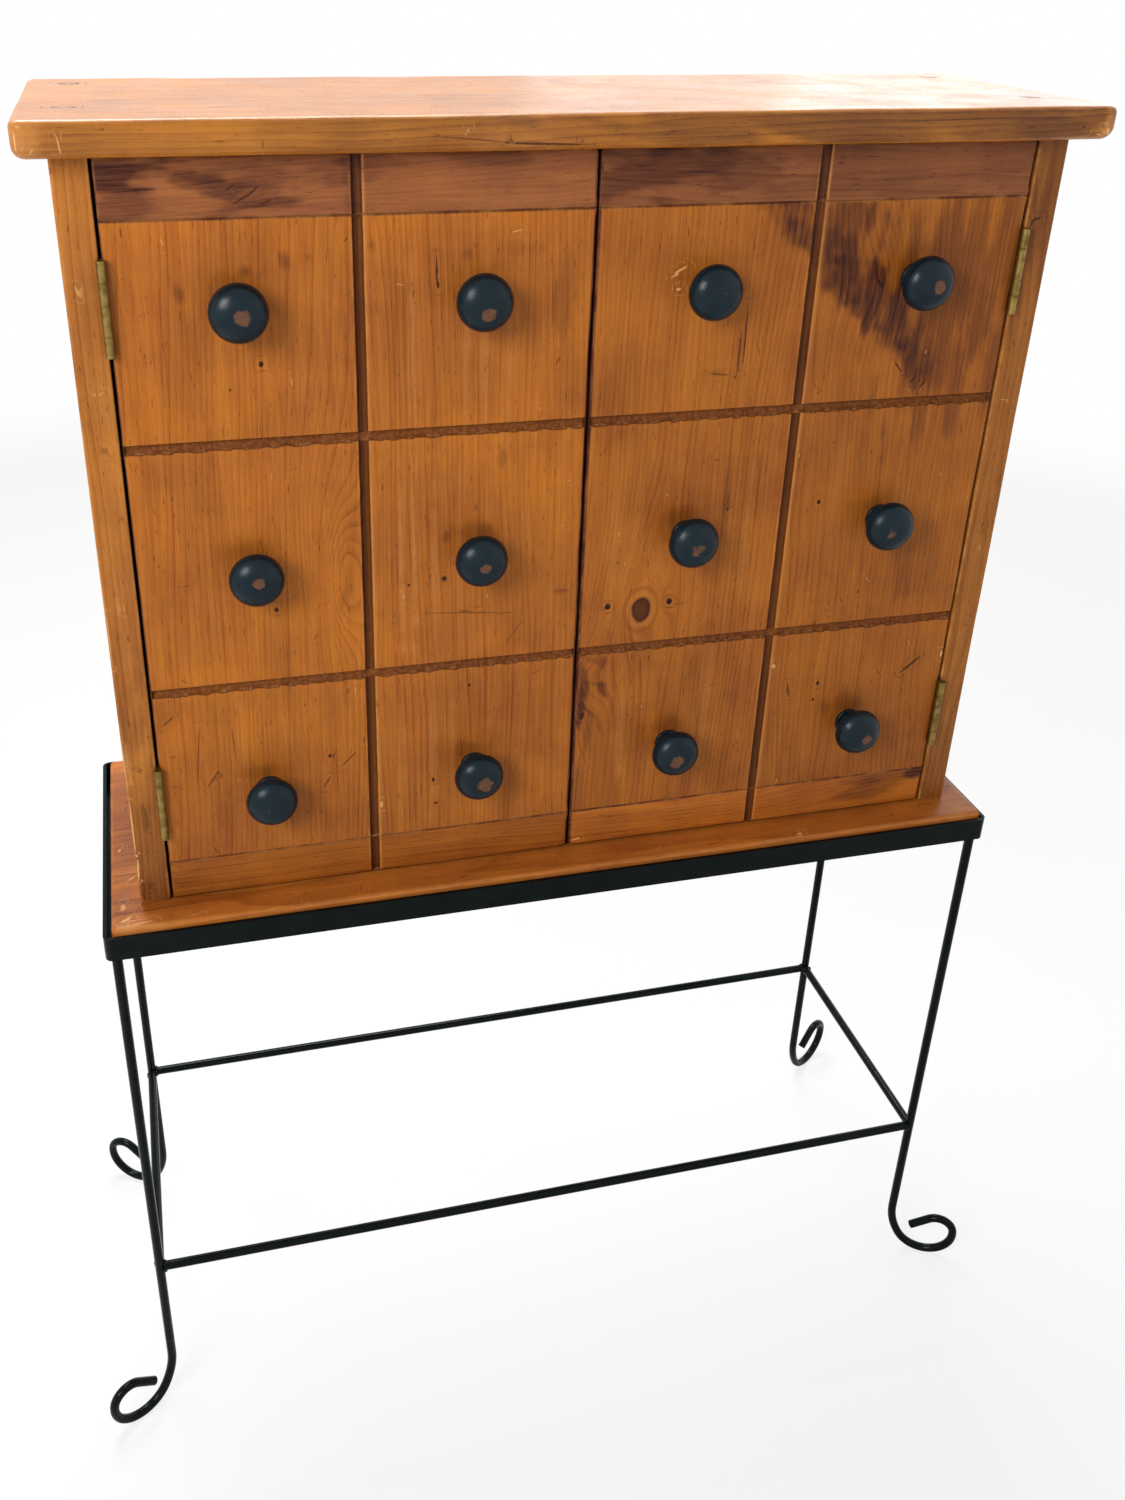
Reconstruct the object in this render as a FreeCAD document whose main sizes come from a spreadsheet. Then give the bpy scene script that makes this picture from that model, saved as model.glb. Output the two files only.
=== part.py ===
import FreeCAD, Part
import math
import os
import re
import Sketcher
from FreeCAD import Placement, Rotation, Vector

# Cabinet with two grooved doors, standing in the tray of a black iron stand.
# Millimetres, +Z up. The origin is on the floor under the middle of the stand, the doors face -Y.

doc = FreeCAD.newDocument("ChestOnStand")
sheet = doc.addObject("Spreadsheet::Sheet", "Sizes")

DRIVING_SIZES = [
    ("carcass_width", 680, "over the two side boards"),
    ("carcass_height", 545, "base board to underside of the top"),
    ("carcass_depth", 208, "front edge to back edge of a side board"),
    ("side_thick", 22.5, "side board"),
    ("top_thick", 22, "top board"),
    ("top_over_side", 18.5, "top board past a side board"),
    ("top_over_front", 25, "top board past the door fronts"),
    ("top_over_back", 7, "top board past the carcass at the back"),
    ("top_corner_radius", 8, "corners of the top board seen from above"),
    ("top_round_over", 5, "upper edge of the top board"),
    ("top_round_under", 8, "lower edge of the top board"),
    ("base_thick", 22, "base boards"),
    ("base_over_side", 22.5, "base past a side board"),
    ("base_over_front", 28.5, "base past the door fronts"),
    ("base_over_back", 9, "base past the carcass at the back"),
    ("base_front_width", 69.5, "front one of the two glued base boards"),
    ("base_corner_radius", 5, "front corners of the base seen from above"),
    ("base_round", 4, "upper edge of the base at the front and the ends"),
    ("back_thick", 5, "back panel"),
    ("rabbet_width", 10, "step in the side board that takes the back panel"),
    ("shelf_thick", 16, "shelf"),
    ("shelf_low_top", 180, "upper face of the lower shelf above the base"),
    ("shelf_high_top", 362, "upper face of the upper shelf above the base"),
    ("shelf_behind_door", 4, "shelf front edge behind the closed doors"),
    ("shelf_end_gap", 0.5, "shelf end to side board"),
    ("shelf_pin_diameter", 5, "brass shelf pin"),
    ("shelf_pin_seat", 8, "shelf pin inside the side board"),
    ("shelf_pin_reach", 9, "shelf pin under the shelf"),
    ("shelf_pin_inset", 24, "shelf pin from the front or back edge of the shelf"),
    ("plug_diameter", 14, "wood plug over a top screw"),
    ("plug_length", 7, "wood plug"),
    ("plug_front", 38, "front plugs behind the door fronts"),
    ("rear_plug_inset", 28, "rear plugs in front of the back edges of the side boards"),
    ("base_screw_front", 20, "front base screws behind the door fronts"),
    ("carcass_screw_diameter", 4.5, "screw through the top or base into a side board"),
    ("carcass_screw_head", 9, "its countersunk head"),
    ("carcass_screw_length", 50, "its length"),
    ("door_thick", 20, "door"),
    ("side_gap", 2, "door to side board"),
    ("centre_gap", 1.6, "door to door"),
    ("door_gap_top", 2, "door to top board"),
    ("door_gap_bottom", 1.5, "door to base"),
    ("top_cleat", 37, "cross-grain cleat at the head of a door"),
    ("bottom_cleat", 33, "cross-grain cleat at the foot of a door"),
    ("tongue_thick", 6, "tongue of the door panel in its cleats"),
    ("tongue_length", 8, "tongue of the door panel"),
    ("groove_width", 6.5, "dummy drawer grooves in the doors"),
    ("groove_depth", 4, "dummy drawer grooves in the doors"),
    ("groove_low", 179.5, "lower cross groove above the base"),
    ("groove_high", 361, "upper cross groove above the base"),
    ("knob_diameter", 38, "head of a knob"),
    ("knob_projection", 30, "knob from the door face"),
    ("knob_rim_height", 18, "widest part of the knob above the door face"),
    ("knob_edge_radius", 8.5, "rounding of the rim of a knob"),
    ("knob_foot_diameter", 22, "turned ring at the foot of a knob"),
    ("knob_foot_height", 3, "turned ring at the foot of a knob"),
    ("knob_neck_diameter", 14, "neck of a knob"),
    ("knob_screw_diameter", 4, "machine screw through the door into a knob"),
    ("knob_screw_grip", 13, "thread inside the knob"),
    ("knob_screw_head", 9, "pan head of the knob screw"),
    ("knob_screw_head_height", 2.4, "pan head of the knob screw"),
    ("hinge_length", 60, "brass butt hinge"),
    ("hinge_end_knuckle", 13.2, "upper or lower knuckle, on the leaf of the side board"),
    ("hinge_low", 59.5, "foot of the lower hinges above the base"),
    ("hinge_high", 424, "foot of the upper hinges above the base"),
    ("knuckle_diameter", 6, "hinge barrel"),
    ("hinge_pin_diameter", 2.4, "hinge pin"),
    ("hinge_pin_clearance", 0.05, "pin to bore, on the radius"),
    ("knuckle_gap", 0.3, "between knuckles"),
    ("knuckle_proud", 0.6, "hinge barrel in front of the door face"),
    ("leaf_thick", 1.6, "hinge leaf"),
    ("leaf_depth", 16, "hinge leaf behind the door face"),
    ("leaf_play", 0.3, "between the two leaves of a closed hinge"),
    ("hinge_screw_diameter", 2.6, "hinge screw"),
    ("hinge_screw_head", 5.2, "hinge screw head"),
    ("hinge_screw_length", 14, "hinge screw"),
    ("catch_length", 46, "double magnetic catch under the top"),
    ("catch_depth", 15, "double magnetic catch"),
    ("catch_height", 13, "double magnetic catch"),
    ("catch_gap", 0.3, "magnet to strike plate with the doors closed"),
    ("catch_screw_bite", 7, "catch screw inside the top board"),
    ("strike_width", 15, "steel strike plate on a door"),
    ("strike_height", 10, "steel strike plate"),
    ("strike_thick", 1.2, "steel strike plate"),
    ("strike_inset", 3, "strike plate from the free edge and head of the door"),
    ("nail_diameter", 1.4, "nail of the back panel"),
    ("nail_head", 3.2, "nail head"),
    ("nail_length", 16, "nail under its head"),
    ("nail_head_height", 0.7, "nail head"),
    ("spike_length", 8, "spike of a strike plate"),
    ("rim_height", 20, "outside of the iron tray"),
    ("rim_thick", 3, "iron of the tray"),
    ("ledge_width", 20, "flange under the base, outer face to inner edge"),
    ("rim_corner_radius", 6, "outer corners of the tray"),
    ("rim_play_side", 4, "base to tray, both ends together"),
    ("rim_play_depth", 3, "base to tray, front and back together"),
    ("cabinet_shift_side", 1.5, "cabinet to the right of the middle of its tray"),
    ("cabinet_shift_back", -0.5, "cabinet behind the middle of its tray"),
    ("stand_height", 509, "floor to the underside of the tray"),
    ("rod_diameter", 8, "round iron rod of legs and stretchers"),
    ("leg_inset", 8, "leg axis inside the outer faces of the tray"),
    ("stretcher_height", 164, "stretcher axis above the floor"),
    ("foot_swing", 32, "degrees that a foot points away from the long side"),
    ("bend_radius", 63, "first bend of a foot"),
    ("bend_angle", 33, "degrees of the first bend"),
    ("heel_radius", 28, "heel of a foot"),
    ("heel_angle", 190, "degrees turned at the end of the heel"),
    ("curl_radius", 15, "curl of a foot"),
    ("curl_angle", 311, "degrees turned at the end of the curl"),
    ("foot_tip", 21, "straight end of a foot"),
]

for row, (alias, size, note) in enumerate(DRIVING_SIZES, start=1):
    sheet.set("A%d" % row, alias)
    sheet.set("B%d" % row, str(size))
    sheet.set("C%d" % row, note)
    sheet.setAlias("B%d" % row, alias)
doc.recompute()

ALIASES = {alias for alias, size, note in DRIVING_SIZES}

# Places and sizes that follow from the driving sizes, each a named formula.
FORMULAS = {
    "base_top": "stand_height + rim_thick + base_thick",
    "top_under": "base_top + carcass_height",
    "base_width": "carcass_width + 2 * base_over_side",
    "base_depth": "base_over_front + carcass_depth + base_over_back",
    "cabinet_left": "cabinet_shift_side - carcass_width / 2",
    "cabinet_right": "cabinet_shift_side + carcass_width / 2",
    "front_face": "cabinet_shift_back - base_depth / 2 + base_over_front",
    "inner_width": "carcass_width - 2 * side_thick",
    "back_face": "front_face + carcass_depth - back_thick",
    "top_depth": "top_over_front + carcass_depth + top_over_back",
    "door_width": "(inner_width - 2 * side_gap - centre_gap) / 2",
    "door_bottom": "base_top + door_gap_bottom",
    "door_top": "top_under - door_gap_top",
    "low_joint": "door_bottom + bottom_cleat",
    "high_joint": "door_top - top_cleat",
    "door_back": "front_face + door_thick",
    "gap_middle": "side_thick + side_gap / 2",
    "hinge_axis": "front_face - knuckle_proud - knuckle_diameter / 2",
    "leaf_let_in": "leaf_thick + leaf_play / 2 - side_gap / 2",
    "shelf_front": "door_back + shelf_behind_door",
    "shelf_depth": "back_face - shelf_front - shelf_end_gap",
    "rim_length": "base_width + rim_play_side + 2 * rim_thick",
    "rim_depth": "base_depth + rim_play_depth + 2 * rim_thick",
    "leg_across": "rim_length / 2 - leg_inset",
    "leg_along": "rim_depth / 2 - leg_inset",
    "rod_radius": "rod_diameter / 2",
}


def formula(text):
    """Write a formula of plain names as an expression on the sheet."""
    def swap(match):
        word = match.group(0)
        if word in FORMULAS:
            return "(" + formula(FORMULAS[word]) + ")"
        return "Sizes." + word if word in ALIASES else word
    return re.sub(r"[A-Za-z_]+", swap, text)


def value(text):
    """Work out a formula of plain names."""
    number = sheet.evalExpression(formula(text))
    return float(getattr(number, "Value", number))


def bind(item, **sizes):
    for name, text in sizes.items():
        item.setExpression(name, formula(text))


def place(item, corner, turn=None):
    """Put an item at three formulas, with an optional fixed rotation."""
    item.Placement = Placement(Vector(), turn or Rotation())
    for axis, text in zip("xyz", corner):
        item.setExpression("Placement.Base." + axis, formula(text))
    return item


def block(label, size, corner):
    box = doc.addObject("Part::Box", label)
    bind(box, Length=size[0], Width=size[1], Height=size[2])
    return place(box, corner)


TURNS = {
    "+z": Rotation(),
    "-z": Rotation(Vector(1, 0, 0), 180),
    "+x": Rotation(Vector(0, 1, 0), 90),
    "-x": Rotation(Vector(0, 1, 0), -90),
    "+y": Rotation(Vector(1, 0, 0), -90),
    "-y": Rotation(Vector(1, 0, 0), 90),
}


def rod(label, radius, length, start, way):
    """Round bar from a start point along one of the six axis directions."""
    bar = doc.addObject("Part::Cylinder", label)
    bind(bar, Radius=radius, Height=length)
    return place(bar, start, TURNS[way])


def taper(label, radius, end_radius, length, start, way):
    cone = doc.addObject("Part::Cone", label)
    bind(cone, Radius1=radius, Radius2=end_radius, Height=length)
    return place(cone, start, TURNS[way])


def fuse(label, items):
    union = doc.addObject("Part::MultiFuse", label)
    union.Shapes = items
    return union


def cut(label, base, tools):
    """Take one tool, or several fused into one, away from a base."""
    result = doc.addObject("Part::Cut", label)
    result.Base = base
    result.Tool = tools[0] if len(tools) == 1 else fuse(label + "_cutters", tools)
    return result


def gather(label, items):
    """Identical small fasteners, kept as separate solids of one sub-part."""
    if len(items) == 1:
        items[0].Label = label
        return items[0]
    union = doc.addObject("Part::Compound", label)
    union.Links = items
    return union


LEAF_SCREW_SPOTS = ((1 / 6, 0.66), (1 / 2, 0.34), (5 / 6, 0.66))
"""Along the hinge and back from the door face, as shares of the leaf."""

NAIL_SHARES = (1 / 8, 3 / 8, 5 / 8, 7 / 8)
"""Heights of the back nails, as shares of the carcass height."""

parts = []


def keep(item, label=None):
    """Name a finished sub-part and list it for writing."""
    if label:
        item.Label = label
    parts.append(item)
    return item


def plus(text, offset, sign=1):
    return "%s %s (%s)" % (text, "+" if sign > 0 else "-", offset)


def sketch_on(body, plane, name):
    sketch = body.newObject("Sketcher::SketchObject", name)
    origin = next(feature for feature in body.Origin.OriginFeatures if feature.Role == plane)
    sketch.AttachmentSupport = [(origin, "")]
    sketch.MapMode = "FlatFace"
    return sketch


def constrain(sketch, kind, *where, name, size):
    """Add a measured constraint and bind it to a formula."""
    index = sketch.addConstraint(Sketcher.Constraint(kind, *where, value(size)))
    sketch.renameConstraint(index, name)
    sketch.setExpression("Constraints." + name, formula(size))
    return index


def centred_rectangle(body, plane, name, width, depth):
    """Rectangle with the plane's origin in its middle."""
    sketch = sketch_on(body, plane, name)
    x, y = value(width) / 2, value(depth) / 2
    corners = [Vector(-x, -y, 0), Vector(x, -y, 0), Vector(x, y, 0), Vector(-x, y, 0)]
    for k in range(4):
        sketch.addGeometry(Part.LineSegment(corners[k], corners[(k + 1) % 4]), False)
    for k in range(4):
        sketch.addConstraint(Sketcher.Constraint("Coincident", k, 2, (k + 1) % 4, 1))
    for k, way in enumerate(("Horizontal", "Vertical", "Horizontal", "Vertical")):
        sketch.addConstraint(Sketcher.Constraint(way, k))
    sketch.addConstraint(Sketcher.Constraint("Symmetric", 0, 1, 2, 1, -1, 1))
    constrain(sketch, "DistanceX", 0, 1, 0, 2, name="width", size=width)
    constrain(sketch, "DistanceY", 1, 1, 1, 2, name="depth", size=depth)
    return sketch


def pad(body, sketch, length):
    feature = body.newObject("PartDesign::Pad", "Pad")
    feature.Profile = sketch
    bind(feature, Length=length)
    sketch.Visibility = False
    doc.recompute()
    return feature


def round_edges(body, feature, radius, chosen):
    """Fillet the edges of a feature whose middle point passes a test."""
    names = []
    for k, edge in enumerate(feature.Shape.Edges, start=1):
        middle = edge.valueAt((edge.FirstParameter + edge.LastParameter) / 2)
        if chosen(middle):
            names.append("Edge%d" % k)
    fillet = body.newObject("PartDesign::Fillet", "Fillet")
    fillet.Base = (feature, names)
    bind(fillet, Radius=radius)
    doc.recompute()
    return fillet


TOUCHING = 0.01


def near(a, b):
    return abs(a - b) < TOUCHING


# Fasteners

def countersunk_screw(label, start, way, diameter, head, length):
    """Screw whose head is flush at its start point and whose point lies along its way."""
    sink = "(%s - %s) / 2" % (head, diameter)
    cone = taper(label + "_head", head + " / 2", diameter + " / 2", sink, start, way)
    shank = rod(label + "_shank", diameter + " / 2", length, start, way)
    return fuse(label, [cone, shank])


def carcass_screw_spots(sign, upper):
    """The front and rear screw of one side board, in the top or in the base."""
    middle = plus("cabinet_left", "side_thick / 2") if sign < 0 else plus("cabinet_right", "side_thick / 2", -1)
    front = "plug_front" if upper else "base_screw_front"
    return [(middle, plus("front_face", y)) for y in (front, "carcass_depth - rear_plug_inset")]


def carcass_screws(label, signs, uppers):
    """Screws that hold the side boards from above or from below; also the cutters of their holes."""
    sizes = ("carcass_screw_diameter", "carcass_screw_head", "carcass_screw_length")
    screws = []
    for sign in signs:
        for upper in uppers:
            height = "top_under + top_thick - plug_length" if upper else "base_top - base_thick"
            for spot in carcass_screw_spots(sign, upper):
                name = "%s_carcass_screw_%d" % (label, len(screws) + 1)
                screws.append(countersunk_screw(name, spot + (height,), "-z" if upper else "+z", *sizes))
    return screws


def catch_screws(label):
    """Two screws up through the magnetic catch into the top; also the cutters of their holes."""
    sizes = ("hinge_screw_diameter", "hinge_screw_head", "catch_height + catch_screw_bite")
    depth = "door_back + strike_thick + catch_gap + catch_depth / 2"
    return [countersunk_screw("%s_catch_screw_%d" % (label, k),
                              (plus("cabinet_shift_side", "catch_length / 4", way), depth,
                               "top_under - catch_height"), "+z", *sizes)
            for k, way in enumerate((-1, 1), start=1)]


BOTH_SIDES = (-1, 1)


# Cabinet boards

def plugs(label):
    """Wood plugs over the screws of the top; also the cutters of their seats."""
    spots = [spot for sign in BOTH_SIDES for spot in carcass_screw_spots(sign, True)]
    return [rod("%s_plug_%d" % (label, k), "plug_diameter / 2", "plug_length",
                spot + ("top_under + top_thick - plug_length",), "+z")
            for k, spot in enumerate(spots, start=1)]


def make_top_board():
    body = doc.addObject("PartDesign::Body", "TopBlank")
    outline = centred_rectangle(body, "XY_Plane", "TopOutline", "carcass_width + 2 * top_over_side", "top_depth")
    blank = pad(body, outline, "top_thick")
    thick = value("top_thick")
    corners = round_edges(body, blank, "top_corner_radius", lambda p: near(p.z, thick / 2))
    under = round_edges(body, corners, "top_round_under", lambda p: near(p.z, 0))
    round_edges(body, under, "top_round_over", lambda p: near(p.z, thick))
    place(body, ("cabinet_shift_side", "front_face - top_over_front + top_depth / 2", "top_under"))
    cutters = plugs("seat") + carcass_screws("top", BOTH_SIDES, (True,)) + catch_screws("top")
    keep(cut("top_board", body, cutters))


def make_base_blank(name, width, middle, front):
    """One of the two base boards, its outer upper edges rounded over."""
    body = doc.addObject("PartDesign::Body", name)
    blank = pad(body, centred_rectangle(body, "XY_Plane", name + "Outline", "base_width", width), "base_thick")
    end, half, thick = value("base_width") / 2, value(width) / 2, value("base_thick")
    if front:
        blank = round_edges(body, blank, "base_corner_radius", lambda p: near(p.z, thick / 2) and p.y < 0)
    round_edges(body, blank, "base_round", lambda p: near(p.z, thick) and (near(abs(p.x), end)
                                                                           or front and near(p.y, -half)))
    return place(body, ("cabinet_shift_side", middle, "base_top - base_thick"))


def make_base_boards():
    front = "front_face - base_over_front"
    rear_width = "base_depth - base_front_width"
    front_blank = make_base_blank("BaseFront", "base_front_width", plus(front, "base_front_width / 2"), True)
    rear_middle = plus(front, "base_front_width + (%s) / 2" % rear_width)
    rear_blank = make_base_blank("BaseRear", rear_width, rear_middle, False)
    holes = carcass_screws("base", BOTH_SIDES, (False,))
    keep(cut("base_board_front", front_blank, holes[0::2]))
    keep(cut("base_board_rear", rear_blank, holes[1::2]))


def shelf_pin_spots():
    """Height and depth of each pin of one side board."""
    heights = [plus("base_top", top + " - shelf_thick - shelf_pin_diameter / 2")
               for top in ("shelf_low_top", "shelf_high_top")]
    depths = (plus("shelf_front", "shelf_pin_inset"), plus("shelf_front", "shelf_depth - shelf_pin_inset"))
    return [(depth, height) for height in heights for depth in depths]


def inner_face(sign):
    """Inner face of the left (-1) or right (+1) side board."""
    return "cabinet_left + side_thick" if sign < 0 else "cabinet_right - side_thick"


def make_side_board(label, sign):
    corner = "cabinet_left" if sign < 0 else "cabinet_right - side_thick"
    board = block(label + "_blank", ("side_thick", "carcass_depth", "carcass_height"),
                  (corner, "front_face", "base_top"))
    rabbet_x = plus(inner_face(sign), "rabbet_width", -1) if sign < 0 else inner_face(sign)
    cutters = [block(label + "_rabbet", ("rabbet_width", "back_thick", "carcass_height"),
                     (rabbet_x, "back_face", "base_top"))]
    mortise_x = plus(inner_face(sign), "leaf_let_in", -1) if sign < 0 else inner_face(sign)
    for k, height in enumerate(("hinge_low", "hinge_high"), start=1):
        cutters.append(block("%s_mortise_%d" % (label, k), ("leaf_let_in", "leaf_depth", "hinge_length"),
                             (mortise_x, "front_face", plus("base_top", height))))
        cutters += leaf_screws("%s_hinge_%d" % (label, k), sign, sign, height)
    for k, (depth, height) in enumerate(shelf_pin_spots(), start=1):
        start = (inner_face(sign), depth, height)
        way = "-x" if sign < 0 else "+x"
        cutters.append(rod("%s_pin_hole_%d" % (label, k), "shelf_pin_diameter / 2", "shelf_pin_seat", start, way))
    cutters += carcass_screws(label, (sign,), (True, False))
    spots = nail_spots()
    for k, spot in enumerate(spots[:4] if sign < 0 else spots[4:], start=1):
        cutters.append(nail("%s_nail_%d" % (label, k), spot))
    keep(cut(label, board, cutters))


def nail_spots():
    """Nails of the back panel, four up each side."""
    across = ("cabinet_left + side_thick - rabbet_width / 2", "cabinet_right - side_thick + rabbet_width / 2")
    return [(x, plus("base_top", "carcass_height * %.4f" % share)) for x in across for share in NAIL_SHARES]


def nail(label, spot):
    """Round-headed nail driven forwards into the rabbet, its head on the back face."""
    start = (spot[0], "back_face + back_thick", spot[1])
    head = rod(label + "_head", "nail_head / 2", "nail_head_height", start, "+y")
    shank = rod(label + "_shank", "nail_diameter / 2", "nail_length", start, "-y")
    return fuse(label, [head, shank])


def make_back():
    width = "inner_width + 2 * rabbet_width"
    corner = ("cabinet_left + side_thick - rabbet_width", "back_face", "base_top")
    panel = block("back_blank", (width, "back_thick", "carcass_height"), corner)
    holes = [nail("panel_nail_%d" % k, spot) for k, spot in enumerate(nail_spots(), start=1)]
    keep(cut("back_panel", panel, holes))
    keep(gather("back_nails", [nail("nail_%d" % k, spot) for k, spot in enumerate(nail_spots(), start=1)]))


def make_shelves():
    for label, top in (("shelf_lower", "shelf_low_top"), ("shelf_upper", "shelf_high_top")):
        size = ("inner_width - 2 * shelf_end_gap", "shelf_depth", "shelf_thick")
        corner = ("cabinet_left + side_thick + shelf_end_gap", "shelf_front",
                  plus("base_top", top + " - shelf_thick"))
        keep(block(label, size, corner))


def make_shelf_pins():
    pins = []
    for sign in (-1, 1):
        for depth, height in shelf_pin_spots():
            start = (plus(inner_face(sign), "shelf_pin_seat", sign), depth, height)
            way = "+x" if sign < 0 else "-x"
            name = "pin_%d" % (len(pins) + 1)
            pins.append(rod(name, "shelf_pin_diameter / 2", "shelf_pin_seat + shelf_pin_reach", start, way))
    keep(gather("shelf_pins", pins))


# Hinges

def hinge_x(sign):
    """Middle of the gap beside the left (-1) or right (+1) side board."""
    return "cabinet_left + gap_middle" if sign < 0 else "cabinet_right - gap_middle"


def leaf_screws(label, side, toward, height):
    """Three screws of one leaf, driven toward -X (-1) or +X (+1) from the gap; also their cutters."""
    start_x = plus(hinge_x(side), "leaf_play / 2", toward)
    screws = []
    for k, (along, back) in enumerate(LEAF_SCREW_SPOTS, start=1):
        start = (start_x, "front_face + leaf_depth * %.4f" % back,
                 plus("base_top", height + " + hinge_length * %.4f" % along))
        screws.append(countersunk_screw("%s_screw_%d" % (label, k), start, "-x" if toward < 0 else "+x",
                                        "hinge_screw_diameter", "hinge_screw_head", "hinge_screw_length"))
    return screws


def make_leaf(label, side, toward, height, spans):
    """Hinge leaf: a plate in the gap, and tongues and knuckles over the given spans."""
    low = plus("base_top", height)
    plate_x = plus(hinge_x(side), "leaf_play / 2", toward)
    if toward < 0:
        plate_x = plus(plate_x, "leaf_thick", -1)
    pieces = [block(label + "_plate", ("leaf_thick", "leaf_depth", "hinge_length"), (plate_x, "front_face", low))]
    for k, (start, length) in enumerate(spans, start=1):
        foot = plus(low, start)
        tongue_start = "hinge_axis + knuckle_diameter / 4"
        tongue = ("leaf_thick", "knuckle_diameter / 4 + knuckle_proud", length)
        pieces.append(block("%s_tongue_%d" % (label, k), tongue, (plate_x, tongue_start, foot)))
        centre = (hinge_x(side), "hinge_axis", foot)
        pieces.append(rod("%s_knuckle_%d" % (label, k), "knuckle_diameter / 2", length, centre, "+z"))
    bore = rod(label + "_bore", "hinge_pin_diameter / 2 + hinge_pin_clearance", "hinge_length",
               (hinge_x(side), "hinge_axis", low), "+z")
    holes = leaf_screws(label, side, toward, height)
    keep(cut(label, fuse(label + "_blank", pieces), [bore] + holes))


HINGES = [("left_low", -1, "hinge_low"), ("left_high", -1, "hinge_high"),
          ("right_low", 1, "hinge_low"), ("right_high", 1, "hinge_high")]


def make_hinges():
    ends = [("0", "hinge_end_knuckle"), ("hinge_length - hinge_end_knuckle", "hinge_end_knuckle")]
    middle = [("hinge_end_knuckle + knuckle_gap", "hinge_length - 2 * hinge_end_knuckle - 2 * knuckle_gap")]
    pins = []
    side_screws = []
    for name, side, height in HINGES:
        make_leaf("side_leaf_" + name, side, side, height, ends)
        make_leaf("door_leaf_" + name, side, -side, height, middle)
        foot = (hinge_x(side), "hinge_axis", plus("base_top", height))
        pins.append(rod("pin_" + name, "hinge_pin_diameter / 2", "hinge_length", foot, "+z"))
        side_screws += leaf_screws("side_leaf_screws_" + name, side, side, height)
    keep(gather("hinge_pins", pins))
    keep(gather("side_leaf_screws", side_screws))
    for word, side in (("left", -1), ("right", 1)):
        screws = leaf_screws(word + "_low", side, -side, "hinge_low")
        screws += leaf_screws(word + "_high", side, -side, "hinge_high")
        keep(gather("door_leaf_screws_" + word, screws))


# Doors

def door_left_edge(sign):
    return "cabinet_left + side_thick + side_gap" if sign < 0 else "cabinet_shift_side + centre_gap / 2"


def groove_cutter(label, sign, way, along):
    """Square-shouldered groove with a round bottom, up a door or across it."""
    left = door_left_edge(sign)
    radius = "groove_width / 2"
    shoulder = "groove_depth - groove_width / 2"
    if way == "up":
        length = "door_top - door_bottom"
        centre = plus(left, "door_width / 2")
        slot = block(label + "_slot", ("groove_width", shoulder, length),
                     (plus(centre, radius, -1), "front_face", "door_bottom"))
        round_end = rod(label + "_round", radius, length,
                        (centre, plus("front_face", shoulder), "door_bottom"), "+z")
    else:
        middle = plus("base_top", along)
        slot = block(label + "_slot", ("door_width", shoulder, "groove_width"),
                     (left, "front_face", plus(middle, radius, -1)))
        round_end = rod(label + "_round", radius, "door_width",
                        (left, plus("front_face", shoulder), middle), "+x")
    return [slot, round_end]


def tongue_block(label, sign, joint, length):
    """Tongue along a cleat joint, from the joint upward by the given length."""
    size = ("door_width", "tongue_thick", length)
    return block(label, size, (door_left_edge(sign), "front_face + door_thick / 2 - tongue_thick / 2", joint))


def knob_rows():
    """Heights of the middles of the three dummy drawer rows."""
    low, high = "base_top + groove_low", "base_top + groove_high"
    return ["(%s + %s) / 2" % pair for pair in ((high, "door_top"), (low, high), ("door_bottom", low))]


def knob_spots(sign):
    columns = [plus(door_left_edge(sign), "door_width * %s / 4" % quarter) for quarter in (1, 3)]
    return [(x, z) for z in knob_rows() for x in columns]


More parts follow.
